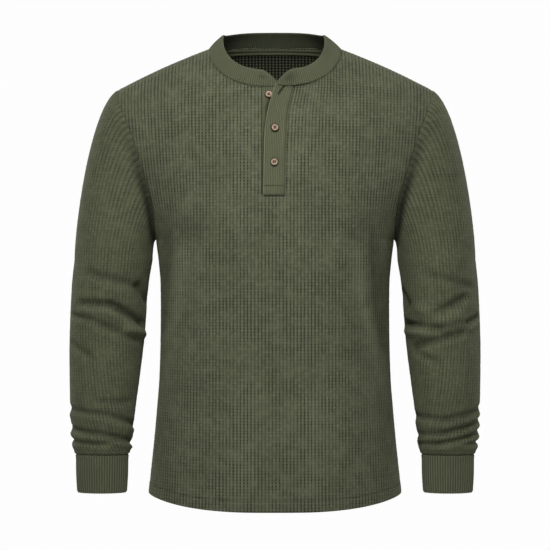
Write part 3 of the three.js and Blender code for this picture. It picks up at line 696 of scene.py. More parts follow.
    def _keep(self, across: Array, cloth: Array) -> Callable[[int, int], bool]:
        """Return the test that leaves out the cells of the placket slot."""
        left, right, bottom = self.slot
        inside = (across[:-1, :-1] > left - 0.5) & (across[:-1, 1:] < right + 0.5) & (cloth[:-1, :-1] > bottom)
        return lambda r, c: not inside[r, c]

    def build(self, name: str) -> Object:
        """Return the panel's wall of cloth."""
        return self.grid().shell(name, self.knit.wall)


class Placket:
    """The rib placket: a flap turned open at the top, over a strip sewn into the slot."""

    table = LevelTable(
        "level free sewn",
        [
            (-40, 6, 30.5),
            (-61, 3, 30),
            (-76, -3, 27.5),
            (-88, -6.4, 24.5),
            (-103, -10.5, 21.5),
            (-133, -15.7, 19.2),
            (-168, -17, 17.6),
            (-219, -18, 16.8),
            (-240, -18, 16.8),
        ],
    )
    bottom: float = -234.3
    clear: float = 0.45
    wall: float = 1.8
    lift_most: float = 7
    lift_from: float = -142
    lift_to: float = -70
    rib_pitch: float = 2.6
    sewn_in: float = 1.6
    shadow_reach: float = 1.7
    shadow_swell: float = 3.6
    sewn_rise: float = 0.4
    hole_ends: tuple[tuple[float, float], ...] = ((0.50, -67.5), (0.66, -81.5))
    hole_half_width: float = 1.5
    box_lines: tuple[float, float] = (-219.6, -233.0)

    @classmethod
    def flare(cls, level: Array, over_edge: float) -> Array:
        """Return how far the slot's right side has spread at a level."""
        return cls.table.at("sewn", level) - over_edge - 14.4

    @classmethod
    def lift(cls, share: Array, level: Array) -> Array:
        """Return how far the flap is lifted, from 0 at its sewn edge."""
        opened = smooth((level - cls.lift_from) / (cls.lift_to - cls.lift_from))
        return cls.lift_most * opened * np.clip(share, 0, 1.05) ** 1.6

    @classmethod
    def across(cls, share: Array, level: Array) -> Array:
        """Return x at a share of the way from the sewn edge to the free edge."""
        return mix(cls.table.at("sewn", level) - cls.sewn_in, cls.table.at("free", level), share)

    @classmethod
    def place(cls, share: Array, level: Array) -> tuple[Array, Array]:
        """Return points on the flap's underside and the outward directions there."""
        x = cls.across(share, level)
        normal = BODY.normal(Side.FRONT, x, level)
        return BODY.point(Side.FRONT, x, level) + normal * (cls.clear + cls.lift(share, level))[..., None], normal

    @classmethod
    def row_on_top(cls, share: Array, level: Array, proud: float) -> Array:
        """Return a row of points on the flap's outer face."""
        point, normal = cls.place(share, level)
        return point + normal * (cls.wall + proud)

    def flap(self) -> Object:
        """Return the flap: a strip with rounded edges, ribs along it and a sewn box at its foot."""
        across, rows = 61, 190
        share = np.linspace(0, 1, across)[None, :] + np.zeros((rows, 1))
        top = BODY.neck(Side.FRONT, self.across(share[0], -64.0)) + 1.2
        level = mix(self.bottom, top[None, :], np.linspace(0, 1, rows)[:, None])
        low, normal = self.place(share, level)
        width = self.table.at("sewn", level) - self.sewn_in - self.table.at("free", level)
        edge = np.minimum(share, 1 - share) * width
        rounding = np.sqrt(1 - np.clip(1 - edge / (self.wall / 2), 0, 1) ** 2)
        ends = np.minimum(level - self.bottom, 6)
        rounding = rounding * np.sqrt(1 - np.clip(1 - ends / (self.wall / 2), 0, 0.95) ** 2)
        ribs = 0.16 * np.cos(2 * math.pi * share * width / self.rib_pitch) * smooth(edge / 3)
        from_free, from_sewn = (1 - share) * width, share * width
        piped = 0.6 * np.exp(-(((from_free - 1.5) / 1.1) ** 2)) - 0.3 * np.exp(-(((from_free - 3.8) / 0.9) ** 2))
        in_box = smooth(edge / 2)
        lines = sum(np.exp(-(((level - line) / 0.75) ** 2)) for line in self.box_lines) * in_box
        puff = 0.35 * smooth((level + 232) / 3) * smooth((-221 - level) / 3) * smooth(edge / 4)
        hole = self._near_hole(from_sewn, level, width)
        middle = self.wall / 2
        # The sewn edge is drawn down into its seam
        thick = mix(self.sewn_rise, 1.0, smooth(from_sewn / 5))
        proud = (ribs + piped - 0.55 * lines + puff - 1.3 * hole) * rounding
        upper = low + normal * (middle * (1 + rounding) * thick + proud)[..., None]
        lower = low + normal * (middle * (1 - rounding) * thick)[..., None]
        loops = np.concatenate([upper, lower[:, ::-1]], axis=1)
        uv = np.stack([from_sewn / self.rib_pitch, level], axis=-1)
        # Painted shade in the buttonhole, along the box lines and at the sewn edge, a painted highlight along the
        # rolled free edge, and painted shade on the whole underside
        rim = np.exp(-(((from_free - 1.2) / 1.0) ** 2))
        shade = 0.9 * hole + 0.62 * lines + 0.5 * np.exp(-((from_sewn / 0.9) ** 2)) - 0.85 * rim
        obj = swept("placket_flap", loops, np.concatenate([uv, uv[:, ::-1]], axis=1))
        set_shade(obj, np.concatenate([shade, np.full_like(shade, 0.6)], axis=1))
        return obj

    def _near_hole(self, place: Array, level: Array, width: Array) -> Array:
        """Return how near each point is to the open buttonhole, from 0 to 1 on it."""
        (share0, level0), (share1, level1) = self.hole_ends
        part = np.clip((level0 - level) / (level0 - level1), 0, 1)
        off = place - mix(share0, share1, part) * width
        past = np.maximum(level1 - level, 0) + np.maximum(level - level0, 0)
        return np.exp(-((off / self.hole_half_width) ** 2) - (past / 0.9) ** 2)

    def strip(self) -> Object:
        """Return the strip under the flap, level with the panel beside it."""
        across, rows = 41, 60
        x = np.linspace(-19.6, 14.0, across)[None, :] + np.zeros((rows, 1))
        top = BODY.neck(Side.FRONT, x[0]) + 1.0
        level = mix(-232.5, top[None, :], np.linspace(0, 1, rows)[:, None])
        point = BODY.point(Side.FRONT, x, level)
        normal = BODY.normal(Side.FRONT, x, level)
        edge = np.minimum(x + 19.6, 14.0 - x)
        rounding = np.sqrt(1 - np.clip(1 - edge / 0.9, 0, 1) ** 2)
        ribs = 0.16 * np.cos(2 * math.pi * x / self.rib_pitch) * smooth(edge / 2.5)
        # Beside the flap's free edge the strip lies deep, in the flap's shadow, which is painted into its colour as
        # shade
        from_flap = np.maximum(self.table.at("free", level) - x, 0)
        reach = self.shadow_reach + self.shadow_swell * np.exp(-(((level + 97) / 13) ** 2))
        hidden = np.exp(-((from_flap / reach) ** 2)) * smooth((-66 - level) / 20)
        middle = self.wall / 2
        upper = point + normal * ((rounding - 1) * middle + (ribs - 1.1 * hidden) * rounding)[..., None]
        lower = point - normal * (2 * middle + 0.3 + middle * rounding)[..., None]
        loops = np.concatenate([upper, lower[:, ::-1]], axis=1)
        uv = np.stack([x / self.rib_pitch, level], axis=-1)
        obj = swept("placket_strip", loops, np.concatenate([uv, uv[:, ::-1]], axis=1))
        shade = mix(0.02, 0.9, hidden)
        set_shade(obj, np.concatenate([shade, shade[:, ::-1]], axis=1))
        return obj


@dataclass(frozen=True)
class SleeveForm:
    """The surface of a sleeve, with the same sizes as its solid."""

    end: float = -628
    turn: float = -328
    pull_top: float = 125
    pull_bottom: float = 26
    turn_pull: float = 150
    sections: LevelTable = field(
        default_factory=lambda: LevelTable(
            "level x y wide deep",
            [
                (-328, 251.5, -1, 60.4, 63),
                (-367, 256.6, -2, 59.3, 62),
                (-451, 261.3, -7, 57.7, 58),
                (-516, 264.6, -14, 53.6, 52),
                (-563, 266.6, -21, 49.8, 45),
                (-600, 266.8, -26, 46.8, 38),
                (-619, 266.8, -28.5, 44.6, 32),
                (-628, 266.8, -30, 41, 26),
            ],
        )
    )

    def armhole(self, turn: Array) -> Array:
        """Return the armhole's points for the left sleeve.

        Args:
            turn: The angle round the sleeve, from 0 at the outside; positive turns to the front.

        Returns:
            Points in millimetres.
        """
        top = BODY.crest(np.array(BODY.shoulder_point))
        level = mix(BODY.underarm, top, (1 + np.cos(turn)) / 2)
        x = BODY.sections.at("edge", level)
        front, back = (BODY.depth(side, x, level, np.ones_like(x)) for side in Side)
        y = np.where(turn >= 0, -front, back)
        return np.stack([x, y, level], axis=-1)

    def ring(self, turn: Array, level: Array) -> Array:
        """Return points on the sleeve's lower part."""
        at = self.sections.at
        x = at("x", level) + at("wide", level) * np.cos(turn)
        y = at("y", level) - at("deep", level) * np.sin(turn)
        return np.stack(np.broadcast_arrays(x, y, level), axis=-1)

    def cap(self, turn: Array, share: Array) -> Array:
        """Return points on the sleeve's cap, from the armhole at share 0 to the arm at share 1."""
        start, end = self.armhole(turn), self.ring(turn, np.full_like(turn, self.turn))
        high = (1 + np.cos(turn)) / 2
        way = np.stack([0.6 + 0.43 * np.sqrt(high), 0.2 * np.sin(turn), 0.19 - 0.7 * high], axis=-1)
        t = share[..., None]
        pull = mix(self.pull_bottom, self.pull_top, high)[..., None]
        back = mix(self.pull_bottom, self.turn_pull, high)[..., None]
        point = start * (1 + 2 * t) * (1 - t) ** 2 + end * t**2 * (3 - 2 * t) + way * pull * t * (1 - t) ** 2
        return point + np.array([0, 0, 1.0]) * back * t**2 * (1 - t)

    def turn_at(self, across: Array, level: Array) -> tuple[Array, Array]:
        """Return the angle round the sleeve at a place across the cloth, and half the cloth's width."""
        wide, deep = self.sections.at("wide", level), self.sections.at("deep", level)
        half = (wide + deep) / 2 * math.pi
        goal = np.minimum(np.abs(across), half)
        turn = goal / ((wide + deep) / 2)
        for _ in range(5):
            run = (wide + deep) / 2 * turn - (wide - deep) / 4 * np.sin(2 * turn)
            turn = turn - (run - goal) / ((wide + deep) / 2 - (wide - deep) / 2 * np.cos(2 * turn))
        turn = np.where(np.abs(across) >= half, math.pi, np.clip(turn, 0, math.pi))
        return np.sign(across) * turn, half


SLEEVE = SleeveForm()


@dataclass
class Sleeve:
    """A set-in sleeve whose ribs run along the arm and are cut off at the underarm seam."""

    hand: Hand
    knit: Waffle = KNIT
    fold_radius: float = 52
    fold_depth: float = 1.75
    fold_light_and_shade: float = 0.075
    end_ridge: float = 0.9
    seam_shadow: float = 0.95

    def creases(self) -> tuple[Fold, ...]:
        """Return the sleeve's creases, placed by angle from its front and by level."""
        right = (
            (48, -395, -10, -397, 6, -3.4, 0.3),
            (-8, -397, -75, -431, 6.5, -5, 0.45),
            (-48, -368, -90, -398, 9, -3, 0),
            (66, -414, 18, -421, 5, -2.3, 0.3),
            (16, -424, -62, -455, 6, -2.5, 0.4),
            (-30, -436, -85, -446, 7, 3, 0),
            (30, -350, -62, -372, 7, -2.2, 0.3),
            (70, -455, 20, -476, 6, -1.8, 0.3),
            (100, -404, 170, -392, 7, -4.5, 0.4),
            (120, -432, 230, -420, 7, -3.5, 0.4),
            (170, -372, 240, -352, 8, -3, 0.3),
            (5, -545, -64, -547, 5, -1.6, 0.3),
            (92, -558, -10, -565, 5, -2.1, 0.4),
            (-14, -567, -94, -585, 5, -2.7, 0.5),
            (92, -587, -10, -596, 4.8, -2.6, 0.5),
            (-16, -598, -94, -611, 4.8, -3.2, 0.5),
            (92, -607, -20, -611, 4, -2.1, 0.3),
            (110, -578, 250, -590, 5, -3.4, 0.5),
            (100, -604, 255, -612, 4.4, -4.2, 0.5),
        )
        left = (
            (-20, -414, 40, -384, 6.5, -3.2, 0.4),
            (-88, -427, -6, -434, 6, -3.8, 0.45),
            (-62, -466, 4, -446, 6.5, -2.8, 0.4),
            (0, -447, 34, -440, 5.5, -2.4, 0.3),
            (34, -427, 70, -415, 5, -3, 0.4),
            (-88, -376, -62, -402, 9, -3, 0),
            (-48, -402, -5, -417, 8, 2.6, 0),
            (-60, -442, 30, -414, 8, 2.8, 0),
            (-20, -352, 55, -372, 7, -2, 0.3),
            (-10, -486, -60, -470, 6, -1.8, 0.3),
            (100, -420, 175, -404, 7, -4.5, 0.4),
            (130, -450, 235, -436, 7, -3.4, 0.4),
            (165, -380, 240, -362, 8, -3, 0.3),
            (-94, -569, -4, -573, 5, -2.1, 0.4),
            (-8, -573, 92, -557, 5.2, -2.3, 0.4),
            (-92, -598, -10, -594, 4.6, -1.8, 0.4),
            (-16, -595, 92, -574, 5, -2.8, 0.5),
            (-92, -613, -20, -610, 4.2, -2.0, 0.4),
            (-26, -611, 92, -591, 4.8, -3.2, 0.5),
            (24, -612, 92, -609, 4, -2.2, 0.4),
            (110, -584, 250, -576, 5, -3.4, 0.5),
            (100, -608, 255, -602, 4.4, -4.2, 0.5),
        )
        rows = left if self.hand is Hand.LEFT else right
        arc = math.radians(1) * self.fold_radius
        return tuple(Fold(a0 * arc, z0, a1 * arc, z1, width, out, roll) for a0, z0, a1, z1, width, out, roll in rows)

    def grid(self) -> ClothGrid:
        """Return the sleeve's points, laid out along its ribs and courses."""
        knit = self.knit
        _, half_top = SLEEVE.turn_at(np.array([0.0]), np.array([SLEEVE.turn]))
        count = int(half_top[0] / knit.half_rib) + 2
        column = np.arange(-count, count + 1)
        stray_across = knit.unevenness(5 + self.hand.value, 1, len(column))[0][0]
        across = column * knit.half_rib + stray_across
        straight = SLEEVE.turn - SLEEVE.end
        cap_turn, _ = SLEEVE.turn_at(across, np.full(len(across), SLEEVE.turn))
        shares = np.linspace(1, 0, 80)
        curve = SLEEVE.cap(np.repeat(cap_turn[None, :], 80, 0), np.repeat(shares[:, None], len(across), 1))
        steps = np.linalg.norm(np.diff(curve, axis=0), axis=-1)
        gone = np.concatenate([np.zeros((1, len(across))), np.cumsum(steps, axis=0)])
        row = np.arange(int((straight + gone[-1].max()) / knit.half_course) + 2)
        _, stray_along, depth_share = knit.unevenness(8 + self.hand.value, len(row), len(column))
        cloth = np.maximum(row * knit.half_course + stray_along[:, 0] * (row > 0), 0)
        points = np.empty((len(row), len(column), 3))
        turns = np.empty(points.shape[:2])
        room = np.empty(points.shape[:2])
        used = np.empty(points.shape[:2])
        for c in range(len(column)):
            level = np.clip(SLEEVE.end + cloth, SLEEVE.end, SLEEVE.turn)
            turn, half = SLEEVE.turn_at(np.full(len(row), across[c]), level)
            place = SLEEVE.ring(turn, level)
            over = np.clip(cloth - straight, 0, gone[-1, c])
            share = np.interp(over, gone[:, c], shares)
            cap = SLEEVE.cap(np.full(len(row), cap_turn[c]), share)
            points[:, c] = np.where((cloth > straight)[:, None], cap, place)
            turns[:, c] = np.where(cloth > straight, cap_turn[c], turn)
            room[:, c] = np.minimum(half - abs(across[c]), straight + gone[-1, c] - cloth)
            used[:, c] = np.clip(across[c], -half, half)
        along = np.minimum(cloth[:, None], straight + gone[-1][None, :])
        points, push = self._folded(points, turns)
        room = np.maximum(room, 0)
        fade = smooth(room / 3.2) * smooth(along / 3)
        groove = -0.55 * np.exp(-((room / 1.6) ** 2)) + self.end_ridge * np.exp(-(((along - 2.4) / 1.5) ** 2))
        relief = knit.relief * knit.height(column[None, :], row[:, None]) * depth_share * fade + groove
        place = [(used - stray_across[None, :]) / knit.rib_pitch, (along - stray_along) / knit.course_pitch]
        uv = np.stack(place, axis=-1)
        # Painted shadow beside the lower half of the armhole, where the sleeve meets the body
        seam_level = SLEEVE.armhole(cap_turn)[:, 2][None, :]
        from_seam = straight + gone[-1][None, :] - along
        armhole_shadow = np.exp(-(((from_seam - 6) / 9) ** 2))
        shade = self.seam_shadow * armhole_shadow * smooth((-90 - seam_level) / 165)
        # Painted highlight on the creases' ridges and painted shade in their troughs, and a painted highlight on the
        # rolled edge above the cuff
        shade = shade + np.clip(-self.fold_light_and_shade * push, -0.35, 0.55) - 0.5 * np.exp(-(((along - 3) / 1.2) ** 2))
        if self.hand is Hand.RIGHT:
            points = points * np.array([-1, 1, 1])
            points, uv, relief, shade = points[:, ::-1], uv[:, ::-1], relief[:, ::-1], shade[:, ::-1]
        # Columns run from the back round the outside to the front, so they are turned to face out
        return ClothGrid(points[:, ::-1], uv[:, ::-1], relief[:, ::-1], shade[:, ::-1], block=1)

    def _folded(self, points: Array, turns: Array) -> tuple[Array, Array]:
        """Return the points moved out and in by the creases, and how far each was moved."""
        level = points[..., 2]
        at = SLEEVE.sections.at
        centre = np.stack([at("x", level), at("y", level), level], axis=-1)
        out = unit(points - centre)
        # Creases count their angle from the sleeve's front, positive to the outside
        from_front = (math.pi / 2 - turns) * self.fold_radius
        round_trip = 2 * math.pi * self.fold_radius
        folds = self.creases()
        push = pushed(folds, from_front, level) + pushed(folds, from_front + round_trip, level)
        push = push + pushed(folds, from_front - round_trip, level)
        fade = smooth((level - SLEEVE.end) / 12) * smooth((-318 - level) / 30)
        push = push * self.fold_depth * fade
        return points + out * push[..., None], push

    def build(self, name: str) -> Object:
        """Return the sleeve's wall of cloth."""
        return self.grid().shell(name, self.knit.wall)


@dataclass
class Cuff:
    """A doubled rib cuff."""

    hand: Hand
    wall: float = 2.4
    rib_pitch: float = 3.9
    rib_height: float = 0.3

    def build(self, name: str) -> Object:
        """Return the cuff: an oval tube with ribs along the arm and rounded edges."""
        top = {"level": -628.4, "x": 266.8, "y": -30.0, "wide": 40.1, "deep": 25.0}
        foot = {"level": -687.0, "x": 266.4, "y": -36.0, "wide": 38.1, "deep": 23.0}
        around_length = math.pi * (41 + 26) * 0.97
        ribs = round(around_length / self.rib_pitch)
        stations = ribs * 6
        share = np.linspace(0, 1, stations, endpoint=False)
        angle = self._even_angle(share, 40.1, 25.0)
        rows = 24
        down = np.linspace(0, 1, rows)
        outer, inner = [], []
        for t in down:
            size = {key: mix(top[key], foot[key], t) for key in top}
            edge = min(t, 1 - t) * 58.6
            rounding = math.sqrt(max(0.0, 1 - max(0.0, 1 - edge / (self.wall / 2)) ** 2))
            gather = 0.8 * math.sin(math.pi * t) + 0.9 * math.exp(-((t * 58.6 / 5) ** 2))
            rib = self.rib_height * np.cos(2 * math.pi * ribs * share) * min(1.0, edge / 2.5)
            for group, offset in ((outer, rounding * self.wall / 2), (inner, -rounding * self.wall / 2)):
                extra = rib if group is outer else 0.4 * rib
                wide = size["wide"] + gather - self.wall / 2 + offset + extra
                deep = size["deep"] + gather - self.wall / 2 + offset + extra
                x = self.hand.value * size["x"] + wide * np.cos(angle)
                y = size["y"] + deep * np.sin(angle)
                group.append(np.stack([x, y, np.full(stations, size["level"])], axis=-1))
        loops = np.concatenate([np.array(outer), np.array(inner)[::-1]]).transpose(1, 0, 2)
        v = np.concatenate([down, down[::-1]]) * 58.6
        uv = np.stack(np.broadcast_arrays(share[:, None] * ribs, v[None, :]), axis=-1)
        return swept(name, loops, uv, ring=True)

    @staticmethod
    def _even_angle(share: Array, wide: float, deep: float) -> Array:
        """Return the angles at even steps of length round an oval."""
        angle = np.linspace(0, 2 * math.pi, 721)
        points = np.stack([wide * np.cos(angle), deep * np.sin(angle)], axis=-1)
        run = np.concatenate([[0], np.cumsum(np.linalg.norm(np.diff(points, axis=0), axis=-1))])
        return np.interp(share * run[-1], run, angle)


@dataclass
class Neckband:
    """The rib neckband, open at the front, with its ends rounded off."""

    wall: float = 2.4
    rib_pitch: float = 3.4
    rib_height: float = 0.12
    bulge: float = 1.3
    side_lean: dict[Hand, float] = field(default_factory=lambda: {Hand.RIGHT: 21.0, Hand.LEFT: 25.0})
    inside_shade: float = 0.42
    crease_x: float = -21
    crease_half: float = 6.5
    tuck: float = 1.6
    flap_end_rise: tuple[float, float] = (29, 0.18)
    strip_end_rise: tuple[float, float] = (34, 0.08)
    flap_end: float = 4
    strip_end: float = 8
    step: float = 0.6

    def seam(self) -> tuple[Array, Array]:
        """Return the seam's points and the outward directions there, evenly spaced."""
        turn = np.linspace(0, 1, 260)
        front_x = self.flap_end + (BODY.neck_point - self.flap_end) * np.sin(turn * math.pi / 2)
        back_x = BODY.neck_point * np.cos(np.linspace(0, 1, 320) * math.pi)
        left_x = -BODY.neck_point * np.sin((1 - turn) * math.pi / 2)
        left_x = np.concatenate([left_x, np.linspace(0.4, self.strip_end, 12)])
        parts, normals = [], []
        for side, x in ((Side.FRONT, front_x), (Side.BACK, back_x), (Side.FRONT, left_x)):
            level = BODY.neck(side, x)
            safe_x, safe_level = x * 0.992, level - 1.5
            parts.append(BODY.point(side, x, level))
            normals.append(BODY.normal(side, safe_x, safe_level, step=1.0))
        points, normal = np.concatenate(parts), np.concatenate(normals)
        ride = np.zeros(len(points))
        count = len(front_x)
        over = Placket.clear + Placket.wall
        share = (Placket.table.at("sewn", points[:count, 2]) - points[:count, 0]) / 27
        ride[:count] = over * smooth((62 - points[:count, 0]) / 30) + Placket.lift(share, points[:count, 2])
        ride[:count] = np.where(points[:count, 0] < 31, np.maximum(ride[:count], over), ride[:count])
        points = points + normal * ride[:, None]
        run = np.concatenate([[0], np.cumsum(np.linalg.norm(np.diff(points, axis=0), axis=-1))])
        even = np.linspace(0, run[-1], int(run[-1] / self.step))
        points = np.stack([np.interp(even, run, points[:, i]) for i in range(3)], axis=-1)
        normal = np.stack([np.interp(even, run, normal[:, i]) for i in range(3)], axis=-1)
        for _ in range(14):
            normal[1:-1] = (normal[:-2] + 2 * normal[1:-1] + normal[2:]) / 4
            points[1:-1] = points[1:-1] * 0.5 + (points[:-2] + points[2:]) * 0.25
        return points, unit(normal)

    def frame(self) -> dict[str, Array]:
        """Return the band's directions and heights at each place along its seam."""
        points, normal = self.seam()
        tangent = unit(np.gradient(points, axis=0))
        away = unit(np.cross(normal, tangent))
        inward = unit(np.stack([-points[:, 0], -8 - points[:, 1], np.zeros(len(points))], axis=-1))
        side_share = inward[:, 0] ** 2
        ahead = points[:, 1] < 0
        beside = np.where(points[:, 0] < 0, self.side_lean[Hand.RIGHT], self.side_lean[Hand.LEFT])
        lean = mix(np.where(ahead, 7.0, 10.0), beside, side_share)
        rise = mix(np.where(ahead, 25.0, 22.8), 22.0, side_share)
        run = np.concatenate([[0], np.cumsum(np.linalg.norm(np.diff(points, axis=0), axis=-1))])
        height = np.ones_like(run)
        for gone, (length, least) in ((run, self.flap_end_rise), (run[-1] - run, self.strip_end_rise)):
            height = np.minimum(height, mix(least, 1.0, np.sin(np.clip(gone / length, 0, 1) * math.pi / 2)))
        up = inward * lean[:, None] + np.array([0, 0, 1.0]) * rise[:, None]
        face = unit(np.cross(tangent, up))
        parts = {"points": points, "normal": normal, "away": away, "up": up, "face": face}
        return parts | {"height": height, "run": run}

    def build(self, name: str) -> Object:
        """Return the neckband: a doubled strip with fine ribs across it and a rounded top edge."""
        f = self.frame()
        rows = 16
        share = np.linspace(0, 1, rows)
        ribs = np.cos(2 * math.pi * f["run"] / self.rib_pitch) * self.rib_height
        in_front = f["points"][:, 1] < 0
        creased = np.exp(-(((f["points"][:, 0] - self.crease_x) / self.crease_half) ** 2)) * in_front
        # Painted shadow on the band where its upper end turns over the lower one
        beyond_lap = 0.42 * np.exp(-(((f["points"][:, 0] - 22) / 11) ** 2)) * in_front
        outer, inner, shade_rows = [], [], []
        for v in share:
            crease = creased * math.exp(-(((v - 0.55) / 0.09) ** 2))
            under_lap = beyond_lap * math.exp(-(((v - 0.5) / 0.3) ** 2))
            # Painted shade in the crease and under the lap, and a painted highlight along the rolled top edge
            shade_rows.append(0.45 * crease + under_lap - 0.3 * math.exp(-(((v - 0.97) / 0.05) ** 2)))
            height = f["height"] * v
            off = (f["up"] * height[:, None]) + f["away"] * (0.5 * v - self.tuck * (1 - v))[..., None]
            bulge = self.bulge * math.sin(math.pi * v) * f["height"] + 0.5 * (1 - v)
            band = np.linalg.norm(f["up"], axis=-1) * f["height"]
            edge = np.minimum(v * band + 0.3, (1 - v) * band)
            rounding = np.sqrt(1 - np.clip(1 - edge / (self.wall / 2), 0, 1) ** 2)
            shade = smooth(edge / 3)
            face = unit(mix(f["normal"], f["face"], float(smooth(v / 0.25))))
            middle = f["points"] + off + face * (bulge - self.wall / 2 + 0.9 * (1 - v) ** 4)[:, None]
            seam_dent = -0.35 * np.exp(-(((v * band - 2.2) / 1.2) ** 2)) - 0.7 * crease
            outer.append(middle + face * (rounding * self.wall / 2 + (ribs + seam_dent) * shade)[:, None])
            inner.append(middle - face * (rounding * self.wall / 2 + 0.5 * ribs * shade)[:, None])
        loops = np.concatenate([np.array(outer), np.array(inner)[::-1]]).transpose(1, 0, 2)
        v = np.concatenate([share, share[::-1]]) * 26
        uv = np.stack(np.broadcast_arrays((f["run"] / self.rib_pitch)[:, None], v[None, :]), axis=-1)
        obj = swept(name, loops, uv)
        # The band's inner face has painted shade all over
        shade = np.concatenate([np.array(shade_rows), np.full((rows, len(f["run"])), self.inside_shade)]).T
        set_shade(obj, shade)
        return obj


@dataclass
class NeckTape:
    """The tape inside the back neck, under the neckband's seam."""

    half: float = 82
    height: float = 11
    wall: float = 1.0
    ridge: float = 0.35
    clear: float = 0.45
    slant: float = 0.93

    def build(self, name: str) -> Object:
        """Return the tape, laid on the inner face of the back panel."""
        stations, rows = 120, 25
        x = np.linspace(-self.half, self.half, stations)[:, None] + np.zeros((1, rows))
        drop = mix(1.0, self.height, np.linspace(0, 1, rows))[None, :]
        level = BODY.neck(Side.BACK, x) - drop * self.slant
        point = BODY.point(Side.BACK, x, level)
        normal = BODY.normal(Side.BACK, x, level, step=1.0)
        edge = np.minimum(drop - 1.0, self.height - drop)
        rounding = np.sqrt(1 - np.clip(1 - edge / (self.wall / 2), 0, 1) ** 2)
        middle = -(KNIT.wall + self.clear + self.wall / 2)
        ridge = self.ridge * np.cos(2 * math.pi * (drop - 1.0 - self.height * 0.22) / (self.height * 0.5))
        near = middle + rounding * self.wall / 2
        away = middle - rounding * (self.wall / 2 + ridge)
        outer, inner = point + normal * away[..., None], point + normal * near[..., None]
        loops = np.concatenate([outer, inner[:, ::-1]], axis=1)
        uv = np.stack(np.broadcast_arrays(x, drop), axis=-1)
        return swept(name, loops, np.concatenate([uv, uv[:, ::-1]], axis=1))


@dataclass
class Button:
    """A dished four-hole button with its thread."""

    name: str
    x: float
    level: float
    on_flap: bool
    spin: float = 0.0
    radius: float = 6.5
    wall: float = 2.6
    hole: float = 1.05
    hole_spread: float = 2.0

    def placing(self) -> tuple[Array, Array]:
        """Return where the button's back lies, in millimetres, and its own axes as columns."""
        high = self.level + self.radius
        sewn, free = (float(Placket.table.at(name, high)) for name in ("sewn", "free"))
        under = 0.0
        if self.on_flap:
            lift = Placket.lift(np.array((sewn - self.x) / (sewn - free)), high)
            under = Placket.clear + Placket.wall + float(lift)
        x, level = np.array(self.x), np.array(self.level)
        normal = BODY.normal(Side.FRONT, x, level)
        right = unit(np.cross(np.array([0, 0, 1.0]), normal))
        up = np.cross(normal, right)
        turned = math.cos(self.spin) * right + math.sin(self.spin) * up
        origin = BODY.point(Side.FRONT, x, level) + normal * (under + BODY.seam_gap)
        return origin, np.stack([turned, np.cross(normal, turned), normal], axis=1)

    def disc(self) -> Object:
        """Return the button's disc with its rim, dish and four holes."""
        r, h = self.radius, self.wall
        rim = [(r - 0.9, 0.0), (r - 0.35, 0.12), (r, 0.6), (r, 1.5), (r - 0.15, 2.1), (r - 0.5, h)]
        dish = [(r - 0.9, h + 0.05), (r - 1.3, h - 0.05), (r - 1.9, h - 0.55), (r - 2.6, h - 0.78), (1.0, h - 0.85)]
        profile = [(0.0, 0.0), *rim, *dish, (0.0, h - 0.85)]
        segments = 48
        vertices, faces, uv = [], [], []
        for radius, height in profile:
            for i in range(segments):
                angle = 2 * math.pi * i / segments
                vertices.append((radius * math.cos(angle), radius * math.sin(angle), height))
                uv.append((radius / r, i / segments))
        for i in range(len(profile) - 1):
            for j in range(segments):
                k = (j + 1) % segments
                faces.append([i * segments + j, i * segments + k, (i + 1) * segments + k, (i + 1) * segments + j])
        obj = new_object(self.name, np.array(vertices), faces)
        set_uv(obj, np.array(uv))
        merge(obj)
        cutter = self._drills()
        cut = obj.modifiers.new("holes", "BOOLEAN")
        cut.operation = "DIFFERENCE"
        cut.solver = "EXACT"
        cut.object = cutter
        freeze(obj)
        bpy.data.objects.remove(cutter)
        obj.data.set_sharp_from_angle(angle=math.radians(50))
        self._place(obj)
        return obj

    def _drills(self) -> Object:
        """Return four upright rods as one object."""
        vertices, faces = [], []
        sides = 20
        for k in range(4):
            angle = math.pi / 4 + k * math.pi / 2
            centre = (self.hole_spread * math.cos(angle), self.hole_spread * math.sin(angle))
            base = len(vertices)
            for level in (-2.0, 5.0):
                for i in range(sides):
                    a = 2 * math.pi * i / sides
                    vertices.append((centre[0] + self.hole * math.cos(a), centre[1] + self.hole * math.sin(a), level))
            faces.append([base + i for i in reversed(range(sides))])
            faces.append([base + sides + i for i in range(sides)])
            for i in range(sides):
                j = (i + 1) % sides
                faces.append([base + i, base + j, base + sides + j, base + sides + i])
        return new_object("drills", np.array(vertices), faces, shade_smooth=False)

    def thread(self, name: str) -> Object:
        """Return the thread: two pairs of strands across the holes, each a smooth bent tube."""
        d = self.hole_spread * math.cos(math.pi / 4)
        top = self.wall - 0.85
        vertices, faces, uv = [], [], []
        sides, steps, radius = 8, 18, 0.4
        for row in (-1, 1):
            for strand in (-0.28, 0.28):
                base = len(vertices)
                for i in range(steps + 1):
                    t = i / steps * 2 - 1
                    lift = 0.55 * (1 - abs(t) ** 3.2)
                    height = top + lift - 1.4 * max(0, abs(t) - 0.8) / 0.2
                    centre = np.array([t * (d + 0.18), row * d + strand * (1 - 0.4 * abs(t)), height])
                    for j in range(sides):
                        a = 2 * math.pi * j / sides
                        vertices.append(centre + radius * np.array([0, math.cos(a), math.sin(a)]))
                        uv.append((t * 3, j / sides))
                for i in range(steps):
                    for j in range(sides):
                        k = (j + 1) % sides
                        a, b = base + i * sides, base + (i + 1) * sides
                        faces.append([a + j, b + j, b + k, a + k])
                faces.append([base + j for j in range(sides)])
                faces.append([base + steps * sides + j for j in reversed(range(sides))])
        obj = new_object(name, np.array(vertices), faces)
        if signed_volume(obj.data) < 0:
            obj.data.flip_normals()
        set_uv(obj, np.array(uv))
        self._place(obj)
        return obj

    def _place(self, obj: Object) -> None:
        """Put the mesh, made about its own axis, where the button lies."""
        origin, axes = self.placing()
        points = np.empty(len(obj.data.vertices) * 3)
        obj.data.vertices.foreach_get("co", points)
        placed = points.reshape(-1, 3) @ axes.T + origin * MM
        obj.data.vertices.foreach_set("co", placed.ravel())
        obj.data.update()


